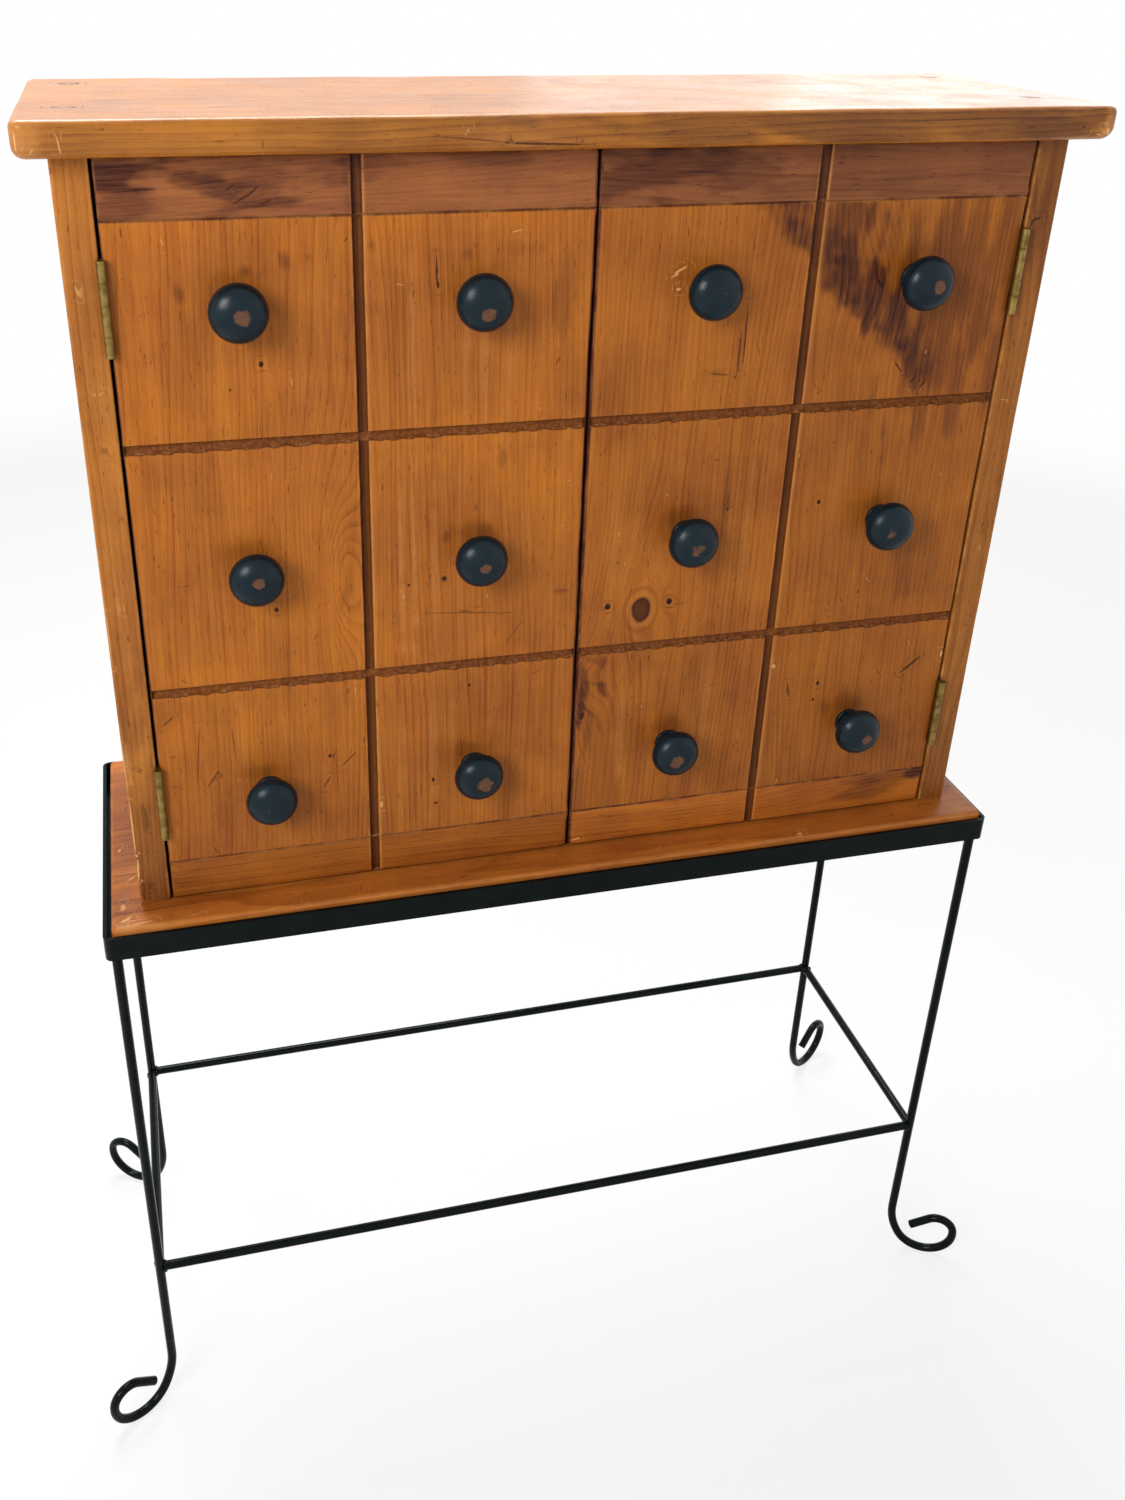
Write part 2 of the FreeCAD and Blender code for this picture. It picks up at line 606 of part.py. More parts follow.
def make_door(word, sign):
    left = door_left_edge(sign)
    free_edge = plus(left, "door_width") if sign < 0 else left
    hinge_edge = left if sign < 0 else plus(left, "door_width")
    knob_holes = [rod("%s_knob_hole_%d" % (word, k), "knob_screw_diameter / 2", "door_thick",
                      (x, "front_face", z), "+y") for k, (x, z) in enumerate(knob_spots(sign), start=1)]
    mortise_x = hinge_edge if sign < 0 else plus(hinge_edge, "leaf_let_in", -1)
    hinge_cuts = []
    for k, height in enumerate(("hinge_low", "hinge_high"), start=1):
        size = ("leaf_let_in", "leaf_depth", "hinge_length")
        corner = (mortise_x, "front_face", plus("base_top", height))
        hinge_cuts.append(block("%s_door_mortise_%d" % (word, k), size, corner))
        hinge_cuts += leaf_screws("%s_door_hinge_%d" % (word, k), sign, -sign, height)

    board = block(word + "_panel_board", ("door_width", "door_thick", "high_joint - low_joint"),
                  (left, "front_face", "low_joint"))
    tongues = [tongue_block(word + "_low_tongue", sign, "low_joint - tongue_length", "tongue_length"),
               tongue_block(word + "_high_tongue", sign, "high_joint", "tongue_length")]
    panel = fuse(word + "_panel_blank", [board] + tongues)
    cutters = groove_cutter(word + "_panel_up", sign, "up", "")
    cutters += groove_cutter(word + "_low_groove", sign, "across", "groove_low")
    cutters += groove_cutter(word + "_high_groove", sign, "across", "groove_high")
    keep(cut("door_panel_" + word, panel, cutters + knob_holes + hinge_cuts))

    low = block(word + "_low_blank", ("door_width", "door_thick", "bottom_cleat"),
                (left, "front_face", "door_bottom"))
    low_slot = tongue_block(word + "_low_slot", sign, "low_joint - tongue_length", "tongue_length")
    keep(cut("bottom_cleat_" + word, low, [low_slot] + groove_cutter(word + "_low_up", sign, "up", "")))

    high = block(word + "_high_blank", ("door_width", "door_thick", "top_cleat"),
                 (left, "front_face", "high_joint"))
    high_slot = tongue_block(word + "_high_slot", sign, "high_joint", "tongue_length")
    spikes = strike_spikes(word + "_spike_hole", free_edge, sign)
    high_cutters = [high_slot] + groove_cutter(word + "_high_up", sign, "up", "") + spikes
    keep(cut("top_cleat_" + word, high, high_cutters))
    make_strike(word, free_edge, sign)


def strike_middle(free_edge, sign):
    return plus(free_edge, "strike_inset + strike_width / 2", sign)


def strike_spikes(label, free_edge, sign):
    """Two spikes that hold a strike plate in the back of the top cleat."""
    middle = strike_middle(free_edge, sign)
    height = "door_top - strike_inset - strike_height / 2"
    return [rod("%s_%d" % (label, k), "nail_diameter / 2", "spike_length",
                (plus(middle, "strike_width / 4", way), "door_back", height), "-y")
            for k, way in enumerate((-1, 1), start=1)]


def make_strike(word, free_edge, sign):
    corner = (plus(strike_middle(free_edge, sign), "strike_width / 2", -1), "door_back",
              "door_top - strike_inset - strike_height")
    plate = block(word + "_strike_blank", ("strike_width", "strike_thick", "strike_height"), corner)
    keep(fuse("strike_plate_" + word, [plate] + strike_spikes(word + "_spike", free_edge, sign)))


def join_ends(sketch):
    """Tie each piece of a closed outline to the next one."""
    outline = sketch.Geometry
    for k, piece in enumerate(outline):
        following = (k + 1) % len(outline)
        for end, point in ((1, piece.StartPoint), (2, piece.EndPoint)):
            for start, other in ((1, outline[following].StartPoint), (2, outline[following].EndPoint)):
                if point.distanceToPoint(other) < TOUCHING:
                    sketch.addConstraint(Sketcher.Constraint("Coincident", k, end, following, start))


def make_knob(label, spot):
    """Turned wooden knob: a ring at the foot, a short neck and a head like a flattened ball."""
    body = doc.addObject("PartDesign::Body", label)
    sketch = sketch_on(body, "XZ_Plane", "Profile")
    wide, neck, rim = value("knob_diameter / 2"), value("knob_neck_diameter / 2"), value("knob_rim_height")
    half, edge = value("knob_projection") - rim, value("knob_edge_radius")
    dome = (wide ** 2 + half ** 2 - 2 * wide * edge) / (2 * (half - edge))
    lean = math.atan2(wide - edge, dome - half)
    neck_lean = math.asin(neck / dome)
    neck_top = rim + dome - half - dome * math.cos(neck_lean)
    bore, depth = "knob_screw_diameter / 2", "knob_screw_grip"
    corners = [(bore, "0"), ("knob_foot_diameter / 2", "0"), ("knob_foot_diameter / 2", "knob_foot_height"),
               ("knob_neck_diameter / 2", "knob_foot_height"), ("knob_neck_diameter / 2", "%.9f" % neck_top)]
    core = [("0", "knob_projection"), ("0", depth), (bore, depth), (bore, "0")]
    points = [Vector(value(x), value(y), 0) for x, y in corners]
    for a, b in zip(points, points[1:]):
        sketch.addGeometry(Part.LineSegment(a, b), False)
    quarter = math.pi / 2
    for centre, radius, start, end in ((Vector(0, rim + dome - half, 0), dome, neck_lean, lean),
                                       (Vector(wide - edge, rim, 0), edge, lean, 2 * quarter - lean),
                                       (Vector(0, rim - dome + half, 0), dome, 2 * quarter - lean, 2 * quarter)):
        circle = Part.Circle(centre, Vector(0, 0, 1), radius)
        sketch.addGeometry(Part.ArcOfCircle(circle, start - quarter, end - quarter), False)
    points = [Vector(value(x), value(y), 0) for x, y in core]
    for a, b in zip(points, points[1:]):
        sketch.addGeometry(Part.LineSegment(a, b), False)
    join_ends(sketch)
    turn = body.newObject("PartDesign::Revolution", "Turned")
    turn.Profile = sketch
    turn.ReferenceAxis = (sketch, ["V_Axis"])
    turn.Angle = 360
    sketch.Visibility = False
    place(body, (spot[0], "front_face", spot[1]), Rotation(Vector(1, 0, 0), 90))
    keep(body, label)


def make_knobs():
    for word, sign in (("left", -1), ("right", 1)):
        screws = []
        for k, (x, z) in enumerate(knob_spots(sign), start=1):
            make_knob("knob_%s_%d" % (word, k), (x, z))
            head = rod("%s_knob_screw_head_%d" % (word, k), "knob_screw_head / 2", "knob_screw_head_height",
                       (x, "door_back", z), "+y")
            shank = rod("%s_knob_screw_shank_%d" % (word, k), "knob_screw_diameter / 2",
                        "door_thick + knob_screw_grip", (x, "door_back", z), "-y")
            screws.append(fuse("%s_knob_screw_%d" % (word, k), [head, shank]))
        keep(gather("knob_screws_" + word, screws))


# Magnetic catch

def make_catch():
    body = block("catch_body", ("catch_length", "catch_depth", "catch_height"),
                 ("cabinet_shift_side - catch_length / 2", "door_back + strike_thick + catch_gap",
                  "top_under - catch_height"))
    keep(cut("magnetic_catch", body, catch_screws("seat")))
    keep(gather("catch_screws", catch_screws("steel")))


# Iron stand

def make_tray():
    """Tray of angle iron in four mitred bars with rounded outer corners."""
    body = doc.addObject("PartDesign::Body", "TrayRing")
    outline = centred_rectangle(body, "XY_Plane", "TrayOutline", "rim_length", "rim_depth")
    blank = pad(body, outline, "rim_height")
    middle = value("rim_height") / 2
    round_edges(body, blank, "rim_corner_radius", lambda p: near(p.z, middle))
    place(body, ("0", "0", "stand_height"))
    well = block("tray_well", ("rim_length - 2 * rim_thick", "rim_depth - 2 * rim_thick", "rim_height"),
                 ("rim_thick - rim_length / 2", "rim_thick - rim_depth / 2", "stand_height + rim_thick"))
    hole = block("tray_hole", ("rim_length - 2 * ledge_width", "rim_depth - 2 * ledge_width", "rim_height"),
                 ("ledge_width - rim_length / 2", "ledge_width - rim_depth / 2", "stand_height"))
    ring = cut("tray_ring", body, [well, hole])
    for label, turn, length, depth in (("rim_front", 0, "rim_length", "rim_depth"),
                                       ("rim_right", 90, "rim_depth", "rim_length"),
                                       ("rim_back", 180, "rim_length", "rim_depth"),
                                       ("rim_left", 270, "rim_depth", "rim_length")):
        mitre = doc.addObject("Part::Wedge", label + "_mitre")
        bind(mitre, Xmin="-(%s) / 2" % length, Xmax="(%s) / 2" % length,
             X2min="ledge_width - (%s) / 2" % length, X2max="(%s) / 2 - ledge_width" % length,
             Ymin="-(%s) / 2" % depth, Ymax="ledge_width - (%s) / 2" % depth,
             Zmin="0", Zmax="rim_height", Z2min="0", Z2max="rim_height")
        place(mitre, ("0", "0", "stand_height"), Rotation(Vector(0, 0, 1), turn))
        bar = doc.addObject("Part::Common", label)
        bar.Base = ring
        bar.Tool = mitre
        keep(bar)


def foot_path():
    """Leg and scroll in their own plane: points and arcs from the tray down to the tip."""
    first, heel, curl = value("bend_radius"), value("heel_radius"), value("curl_radius")
    turns = [math.radians(value(name)) for name in ("bend_angle", "heel_angle", "curl_angle")]
    low = value("rod_radius")
    bend_start = low + first * math.sin(turns[0]) + heel * (1 - math.sin(turns[0]))
    edges = [Part.LineSegment(Vector(0, value("stand_height"), 0), Vector(0, bend_start, 0))]
    centre = Vector(first, bend_start, 0)
    done = 0.0
    previous = first
    for radius, turn in zip((first, heel, curl), turns):
        centre = centre + Vector(-math.cos(done), -math.sin(done), 0) * (previous - radius)
        circle = Part.Circle(centre, Vector(0, 0, 1), radius)
        edges.append(Part.ArcOfCircle(circle, math.pi + done, math.pi + turn))
        done = turn
        previous = radius
    end = centre + Vector(-math.cos(done), -math.sin(done), 0) * curl
    tip = end + Vector(math.sin(done), -math.cos(done), 0) * value("foot_tip")
    edges.append(Part.LineSegment(end, tip))
    return edges


def make_leg(label, across, along, turn):
    body = doc.addObject("PartDesign::Body", label)
    spine = sketch_on(body, "XZ_Plane", "Spine")
    for edge in foot_path():
        spine.addGeometry(edge, False)
    section = sketch_on(body, "XY_Plane", "Section")
    section.AttachmentOffset = Placement(Vector(0, 0, value("stand_height")), Rotation())
    section.setExpression("AttachmentOffset.Base.z", formula("stand_height"))
    section.addGeometry(Part.Circle(Vector(), Vector(0, 0, 1), value("rod_radius")), False)
    section.addConstraint(Sketcher.Constraint("Coincident", 0, 3, -1, 1))
    constrain(section, "Radius", 0, name="radius", size="rod_radius")
    pipe = body.newObject("PartDesign::AdditivePipe", "Rod")
    pipe.Profile = section
    pipe.Spine = spine
    pipe.Transition = "Transformed"
    section.Visibility = False
    spine.Visibility = False
    place(body, (across, along, "0"), Rotation(Vector(0, 0, 1), turn))
    keep(body, label)


def make_legs():
    swing = value("foot_swing")
    make_leg("leg_front_left", "-leg_across", "-leg_along", 180 + swing)
    make_leg("leg_front_right", "leg_across", "-leg_along", -swing)
    make_leg("leg_back_left", "-leg_across", "leg_along", 180 - swing)
    make_leg("leg_back_right", "leg_across", "leg_along", swing)


def make_stretchers():
    long_way = "2 * leg_across - rod_diameter"
    short_way = "2 * leg_along - rod_diameter"
    for label, sign in (("stretcher_front", "-"), ("stretcher_back", "")):
        start = ("rod_radius - leg_across", sign + "leg_along", "stretcher_height")
        keep(rod(label, "rod_radius", long_way, start, "+x"))
    for label, sign in (("stretcher_left", "-"), ("stretcher_right", "")):
        start = (sign + "leg_across", "rod_radius - leg_along", "stretcher_height")
        keep(rod(label, "rod_radius", short_way, start, "+y"))


make_top_board()
keep(gather("top_plugs", plugs("wood")))
keep(gather("carcass_screws", carcass_screws("steel", BOTH_SIDES, (True, False))))
make_base_boards()
make_side_board("side_board_left", -1)
make_side_board("side_board_right", 1)
make_back()
make_shelves()
make_shelf_pins()
make_hinges()
make_door("left", -1)
make_door("right", 1)
make_knobs()
make_catch()
make_tray()
make_legs()
make_stretchers()
doc.recompute()

# Stop before writing if any object failed or any sub-part has no good solid.
for item in doc.Objects:
    if "Invalid" in item.State or "Error" in item.State:
        raise RuntimeError("%s failed: %s" % (item.Label, item.State))
for item in parts:
    if item.Shape.isNull() or not item.Shape.isValid() or not item.Shape.Solids:
        raise RuntimeError("%s has no valid solid" % item.Label)

os.makedirs("parts", exist_ok=True)
for item in parts:
    item.Shape.exportStep("parts/%s.step" % item.Label)
    print("%-26s solids %2d  volume %12.1f" % (item.Label, len(item.Shape.Solids), item.Shape.Volume))
print(len(parts), "sub-parts")
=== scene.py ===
import math
import bpy
import numpy as np
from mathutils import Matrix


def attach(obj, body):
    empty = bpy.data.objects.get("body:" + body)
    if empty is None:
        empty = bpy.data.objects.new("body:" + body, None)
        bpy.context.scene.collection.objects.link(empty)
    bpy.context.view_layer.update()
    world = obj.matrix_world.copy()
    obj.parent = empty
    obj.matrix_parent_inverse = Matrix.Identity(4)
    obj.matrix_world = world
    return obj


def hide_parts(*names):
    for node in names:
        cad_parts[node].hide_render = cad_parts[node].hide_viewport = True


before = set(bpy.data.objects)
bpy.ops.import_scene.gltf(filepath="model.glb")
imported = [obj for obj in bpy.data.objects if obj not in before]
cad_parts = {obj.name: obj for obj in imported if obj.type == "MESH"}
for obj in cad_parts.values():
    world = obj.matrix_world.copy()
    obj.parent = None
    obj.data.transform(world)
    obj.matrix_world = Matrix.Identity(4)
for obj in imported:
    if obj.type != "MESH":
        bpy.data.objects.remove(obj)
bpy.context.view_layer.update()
mm = 0.001


def addObject(name, data):
    thing = bpy.data.objects.new(name, data)
    bpy.context.collection.objects.link(thing)
    return thing


def aim(thing, right, up, back, place):
    # The object's three directions and its place in metres become the columns of its matrix.
    turn = np.eye(4)
    turn[:3] = np.stack([right, up, back, place], axis=1)
    thing.matrix_world = turn.T.tolist()


# Camera: place in mm and the three directions of the picture, fitted to the photograph; focal and centre in its pixels.
view = {"place": (-291.8, -990.2, 1202.5), "right": (0.97071, -0.23973, 0.01571), "down": (-0.09725, -0.45192, -0.88674),
        "forward": (0.21968, 0.85924, -0.46200), "focal": 1396.47, "centre": (494.68, 652.01), "wide": 1125, "tall": 1500,
        "sensor": 36, "reach": 60}
camera = addObject("camera", bpy.data.cameras.new("camera"))
aim(camera, view["right"], -np.array(view["down"]), -np.array(view["forward"]), np.array(view["place"]) * mm)
lens = camera.data
lens.sensor_fit = "VERTICAL"
lens.sensor_height = view["sensor"]
lens.lens = view["sensor"] * view["focal"] / view["tall"]
lens.shift_x = (view["wide"] / 2 - view["centre"][0]) / view["tall"]
lens.shift_y = -(view["tall"] / 2 - view["centre"][1]) / view["tall"]
lens.clip_end = view["reach"]
bpy.context.scene.camera = camera
print("camera placed")


# Helpers for meshes. Everything is in mm until it goes into a mesh.

def makeMesh(name, points, faces, body, replaced, slot, material, fields=None):
    # Vertices as one array, faces as one array for each number of corners; fields are per-vertex vectors for the material.
    mesh = bpy.data.meshes.new(name)
    mesh.vertices.add(len(points))
    mesh.vertices.foreach_set("co", (points * mm).astype(np.float32).ravel())
    corners = np.concatenate([each.ravel() for each in faces])
    sizes = np.concatenate([np.full(len(each), each.shape[1]) for each in faces])
    mesh.loops.add(len(corners))
    mesh.loops.foreach_set("vertex_index", corners.astype(np.int32))
    mesh.polygons.add(len(sizes))
    mesh.polygons.foreach_set("loop_start", (np.cumsum(sizes) - sizes).astype(np.int32))
    mesh.polygons.foreach_set("use_smooth", np.full(len(sizes), True))
    mesh.update(calc_edges=True)
    for label, values in (fields or {}).items():
        field = mesh.attributes.new(label, "FLOAT_VECTOR", "POINT")
        field.data.foreach_set("vector", values.astype(np.float32).ravel())
    mesh.materials.append(material)
    piece = addObject(name, mesh)
    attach(piece, body)
    if replaced:
        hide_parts(*replaced)


def pairs(first, second):
    # Every pair of a number under first and a number under second, as two flat arrays.
    return (each.ravel() for each in np.meshgrid(np.arange(first), np.arange(second), indexing="ij"))


def waves(points, seed, size, octaves=3):
    # Plane waves in random directions added up; each octave has half the length and half the height of the last.
    rng = np.random.default_rng(seed)
    total = np.zeros(len(points))
    for octave in range(octaves):
        ways = rng.normal(size=(6, 3))
        ways /= np.linalg.norm(ways, axis=1, keepdims=True)
        phases = rng.uniform(0, 2 * np.pi, 6)
        share = 0.5 ** octave
        total += np.sin(points @ ways.T * (2 * np.pi / (size * share)) + phases).sum(axis=1) * 0.4 * share
    return total


def ease(value):
    # Smooth step from 0 to 1.
    value = np.clip(value, 0, 1)
    return value * value * (3 - 2 * value)


def gridLines(low, high, step, radius, extra=()):
    # Lines about step apart, closer over the rounded edge at both ends, and exactly at the extra places.
    count = max(int(round((high - low - 2 * radius) / step)), 1)
    even = np.linspace(low + radius, high - radius, count + 1)
    extra = np.asarray(sorted(extra), float)
    if len(extra):
        gap = np.abs(even[:, None] - extra[None, :]).min(axis=1)
        even = even[(gap > step * 0.45) | (np.arange(len(even)) % count == 0)]
    share = np.array([0, 0.3, 0.62, 1]) * radius
    lines = np.unique(np.round(np.concatenate([even, extra, low + share, high - share]), 4))
    return lines[(lines >= low) & (lines <= high)]


def boxSurface(lines):
    # The skin of a box as six grids over the lines of each axis; shared edges use the same vertices, faces turn outwards.
    counts = [len(each) for each in lines]
    quads = []
    for axis in range(3):
        first, second = (axis + 1) % 3, (axis + 2) % 3
        a, b = pairs(counts[first] - 1, counts[second] - 1)
        for end in (0, counts[axis] - 1):
            corner = np.zeros((4, a.size, 3), int)
            corner[..., axis] = end
            for n, (da, db) in enumerate(((0, 0), (1, 0), (1, 1), (0, 1))):
                corner[n, :, first] = a + da
                corner[n, :, second] = b + db
            number = (corner[..., 0] * counts[1] + corner[..., 1]) * counts[2] + corner[..., 2]
            quads.append(number.T if end else number[::-1].T)
    used, faces = np.unique(np.concatenate(quads), return_inverse=True)
    steps = used // (counts[1] * counts[2]), used // counts[2] % counts[1], used % counts[2]
    return np.stack([lines[n][steps[n]] for n in range(3)], axis=1), faces.reshape(-1, 4)


def roundEdges(points, low, high, radius):
    # A point moves onto a ball of the edge radius rolled along the inside of the box:
    # inner + radius * (point - inner) / |point - inner|.
    radius = radius.reshape(-1, 1)
    inner = np.clip(points, low + radius, high - radius)
    out = points - inner
    return inner + radius * out / np.maximum(np.linalg.norm(out, axis=1, keepdims=True), 1e-9)


def edgeDistance(points, low, high):
    # How far each point of a box's skin is from the nearest edge: its second smallest distance to the box's sides.
    return np.sort(np.minimum(points - low, high - points), axis=1)[:, 1]


def turned(points, across, along, x, z, lean):
    # Each point as seen from (x, z): how far along and how far beside a line that leans by so many degrees.
    cosine, sine = math.cos(math.radians(lean)), math.sin(math.radians(lean))
    dx, dz = points[:, across] - x, points[:, along] - z
    return dx * cosine + dz * sine, dz * cosine - dx * sine


def softSpots(points, across, along, items, seed, ragged=0.3, fibres=(1, 1, 1)):
    # Soft leaning ellipses: (across, along, half width, half height, lean in degrees, strength). Their strengths s join as
    # 1 - (1 - s)(1 - s)...; waves drawn out along the fibres make their outlines uneven.
    total = np.ones(len(points))
    uneven = waves(points * np.array(fibres), seed, 20, 4) * ragged
    for x, z, wide, tall, lean, strength in items:
        beside, up = turned(points, across, along, x, z, lean)
        reach = np.hypot(beside / wide, up / tall) + uneven
        total *= 1 - strength * ease((1.35 - reach) / 0.8)
    return 1 - total


def flameBand(points, across, along, figure, seed):
    # A dark figure beside a line, t away from it: it rises before the line, stays level for about the width of the fade
    # and then falls as 1 / (1 + (t / fade)^4); waves along the line break it into flames.
    x0, z0, x1, z1, fade, strength = figure
    length = math.hypot(x1 - x0, z1 - z0)
    cx, cz = (x1 - x0) / length, (z1 - z0) / length
    dx, dz = points[:, across] - x0, points[:, along] - z0
    s, t = dx * cx + dz * cz, dz * cx - dx * cz
    t = t + 4.0 * waves(points, seed, 30, 4)
    ends = ease((s + 8) / 22) * ease((length + 8 - s) / 26)
    body = np.where(t > 0, 1 / (1 + (np.maximum(t, 0) / fade) ** 4), ease(1 + t / 9))
    squeezed = np.stack([points[:, across], points[:, along] * 0.35, np.zeros(len(points))], axis=1)
    flames = 0.9 + 0.16 * waves(squeezed, seed + 1, 8, 3) + 0.13 * waves(points, seed + 2, 22, 2)
    return np.clip(strength * ends * body * np.clip(flames, 0.6, 1.15), 0, 1)


def nearestMark(points, across, along, items, face, reach=3.4):
    # Sharp little marks: (across, along, half length, half width, lean, strength). Each vertex keeps its place along and
    # across the nearest mark in units of its half sizes, and the mark's strength; beyond reach the strength is 0.
    best = np.full(len(points), 1e9)
    field = np.zeros((len(points), 3))
    for x, z, long, wide, lean, strength in items:
        u, v = turned(points, across, along, x, z, lean)
        away = np.hypot(np.maximum(np.abs(u) - long, 0), np.maximum(np.abs(v) - wide, 0))
        closer = (away < best) & face
        best = np.where(closer, away, best)
        field[closer] = np.stack([u / long, v / wide, np.full(len(points), strength)], axis=1)[closer]
    field[best > reach] = 0
    return field


def woodFields(points, board, low, high):
    # grain: distance from the pith line (the growth rings), place along the grain, place across it bent round the knots.
    # stain: dark (stains and painted shade), pale (pale streaks and a painted highlight), nearness to an edge. local:
    # distance to the nearest knot in knot radii, groove, tone (partly painted shade).
    along, across, deep = board["axes"]
    s, a, d = points[:, along], points[:, across].copy(), points[:, deep]
    stretched = points.copy()
    stretched[:, along] *= 0.16      # makes waves six times as long along the grain
    seed = board["seed"]
    a += waves(stretched, seed, 90, 3) * board["wander"]
    knot = np.full(len(points), 4.0)
    for ka, ks, ra, rs in board.get("knots", ()):
        ratio = np.hypot((points[:, across] - ka) / ra, (s - ks) / rs)
        near = np.hypot((points[:, across] - ka) / (ra * 3.2), (s - ks) / (rs * 5))
        a -= (a - ka) * 0.88 * np.exp(-near ** 2)
        knot = np.minimum(knot, ratio + waves(points, seed + 7, 14, 2) * 0.05)
    ring, toneAndShade, start = np.zeros(len(points)), np.zeros(len(points)), -beyond
    middle = s - (low[along] + high[along]) / 2
    # a stave's tone brightens or darkens its wood; the darker tones of the right door and the right side board are
    # painted shade, falling off away from the key lamp on the left
    for limit, pithAcross, pithDeep, leanAcross, leanDeep, staveShadeAndTone in board["staves"]:
        here = (points[:, across] > start) & (points[:, across] <= limit)
        far = np.hypot(a - pithAcross - leanAcross * middle, d - pithDeep - leanDeep * middle)
        ring[here] = far[here] + 37 * staveShadeAndTone      # so that staves of one board don't share their rings
        toneAndShade[here] = staveShadeAndTone
        start = limit
    ring += waves(stretched, seed + 1, 60, 3) * board["wobble"]
    for ka, ks, ra, rs, rise in board.get("swirls", ()):     # a hill in the ring count makes closed loops
        ring += rise * np.exp(-((points[:, across] - ka) / ra) ** 2 - ((s - ks) / rs) ** 2)
    plane = board.get("plane", (0, 2))
    fibres = np.ones(3)
    fibres[along] = 0.28
    dark = softSpots(points, *plane, board.get("dark", ()), seed + 2, board.get("ragged", 0.3), fibres)
    for figure in board.get("figures", ()):
        dark = np.maximum(dark, flameBand(points, *plane, figure, seed + 4))
    pale = softSpots(points, *plane, board.get("pale", ()), seed + 3, 0.15)
    arris = np.clip(1 - edgeDistance(points, low, high) / board.get("wear", 3.0), 0, 1)
    return {"grain": np.stack([ring, s, a + d * 0.7], axis=1),
            "stain": np.stack([dark, pale, arris], axis=1),
            "local": np.stack([np.minimum(knot, 4), np.zeros(len(points)), toneAndShade], axis=1)}


def deepen(fields, channel, amount):
    # The stain field's dark (0, stains and painted shade), pale (1, pale streaks and a painted highlight) or edge (2)
    # rises to at least the amount.
    fields["stain"][:, channel] = np.maximum(fields["stain"][:, channel], amount)


# Helpers for materials.

def colour(r, g, b):
    # Display values 0 to 255 as the linear colour that a shader takes.
    shares = (r / 255, g / 255, b / 255)
    return tuple(v / 12.92 if v <= 0.04045 else ((v + 0.055) / 1.055) ** 2.4 for v in shares) + (1,)


def connect(node, inputs):
    # A socket is linked to the input, any other value is set on it.
    for name, value in inputs.items():
        if isinstance(value, bpy.types.NodeSocket):
            node.id_data.links.new(value, node.inputs[name])
        else:
            node.inputs[name].default_value = value


def put(tree, kind, inputs=None, **settings):
    node = tree.nodes.new("ShaderNode" + kind)
    for name, value in settings.items():
        setattr(node, name, value)
    connect(node, inputs or {})
    return node


def follow(kind, inputs, output=0, **settings):
    # One output of a new node, in the tree of the first socket among its inputs.
    tree = next(each.id_data for each in inputs.values() if isinstance(each, bpy.types.NodeSocket))
    return put(tree, kind, inputs, **settings).outputs[output]


def work(how, *values, clamp=False):
    return follow("Math", dict(enumerate(values)), operation=how, use_clamp=clamp)


def times(a, b, clamp=False):
    return work("MULTIPLY", a, b, clamp=clamp)


def plus(a, b, clamp=False):
    return work("ADD", a, b, clamp=clamp)


def swing(value, size):
    # A value around 0.5 as a change up or down: (value - 0.5) * size.
    return times(work("SUBTRACT", value, 0.5), size)


def blend(factor, a, b, how="MIX"):
    return follow("Mix", {0: factor, 6: a, 7: b}, 2, data_type="RGBA", blend_type=how)


def slide(value, low, high, to=(0, 1), soft=True):
    # The value's way from low to high becomes the way between the two numbers of to.
    return follow("MapRange", {"Value": value, "From Min": low, "From Max": high, "To Min": to[0], "To Max": to[1]},
                  interpolation_type="SMOOTHSTEP" if soft else "LINEAR")


def vector(x, y, z):
    return follow("CombineXYZ", {0: x, 1: y, 2: z})


def lengthOf(value):
    return follow("VectorMath", {0: value}, "Value", operation="LENGTH")


def noise(value, scale, detail=3.0, roughness=0.55):
    return follow("TexNoise", {"Vector": value, "Scale": scale, "Detail": detail, "Roughness": roughness})


def bump(height, distance, strength):
    return follow("Bump", {"Height": height, "Distance": distance, "Strength": strength})


def readField(tree, label):
    return put(tree, "SeparateXYZ", {0: put(tree, "Attribute", attribute_name=label).outputs["Vector"]}).outputs


def objectPlace(tree):
    return put(tree, "TexCoord").outputs["Object"]


def newMaterial(name):
    material = bpy.data.materials.new(name)
    material.use_nodes = True
    tree = material.node_tree
    return material, tree, tree.nodes["Principled BSDF"]


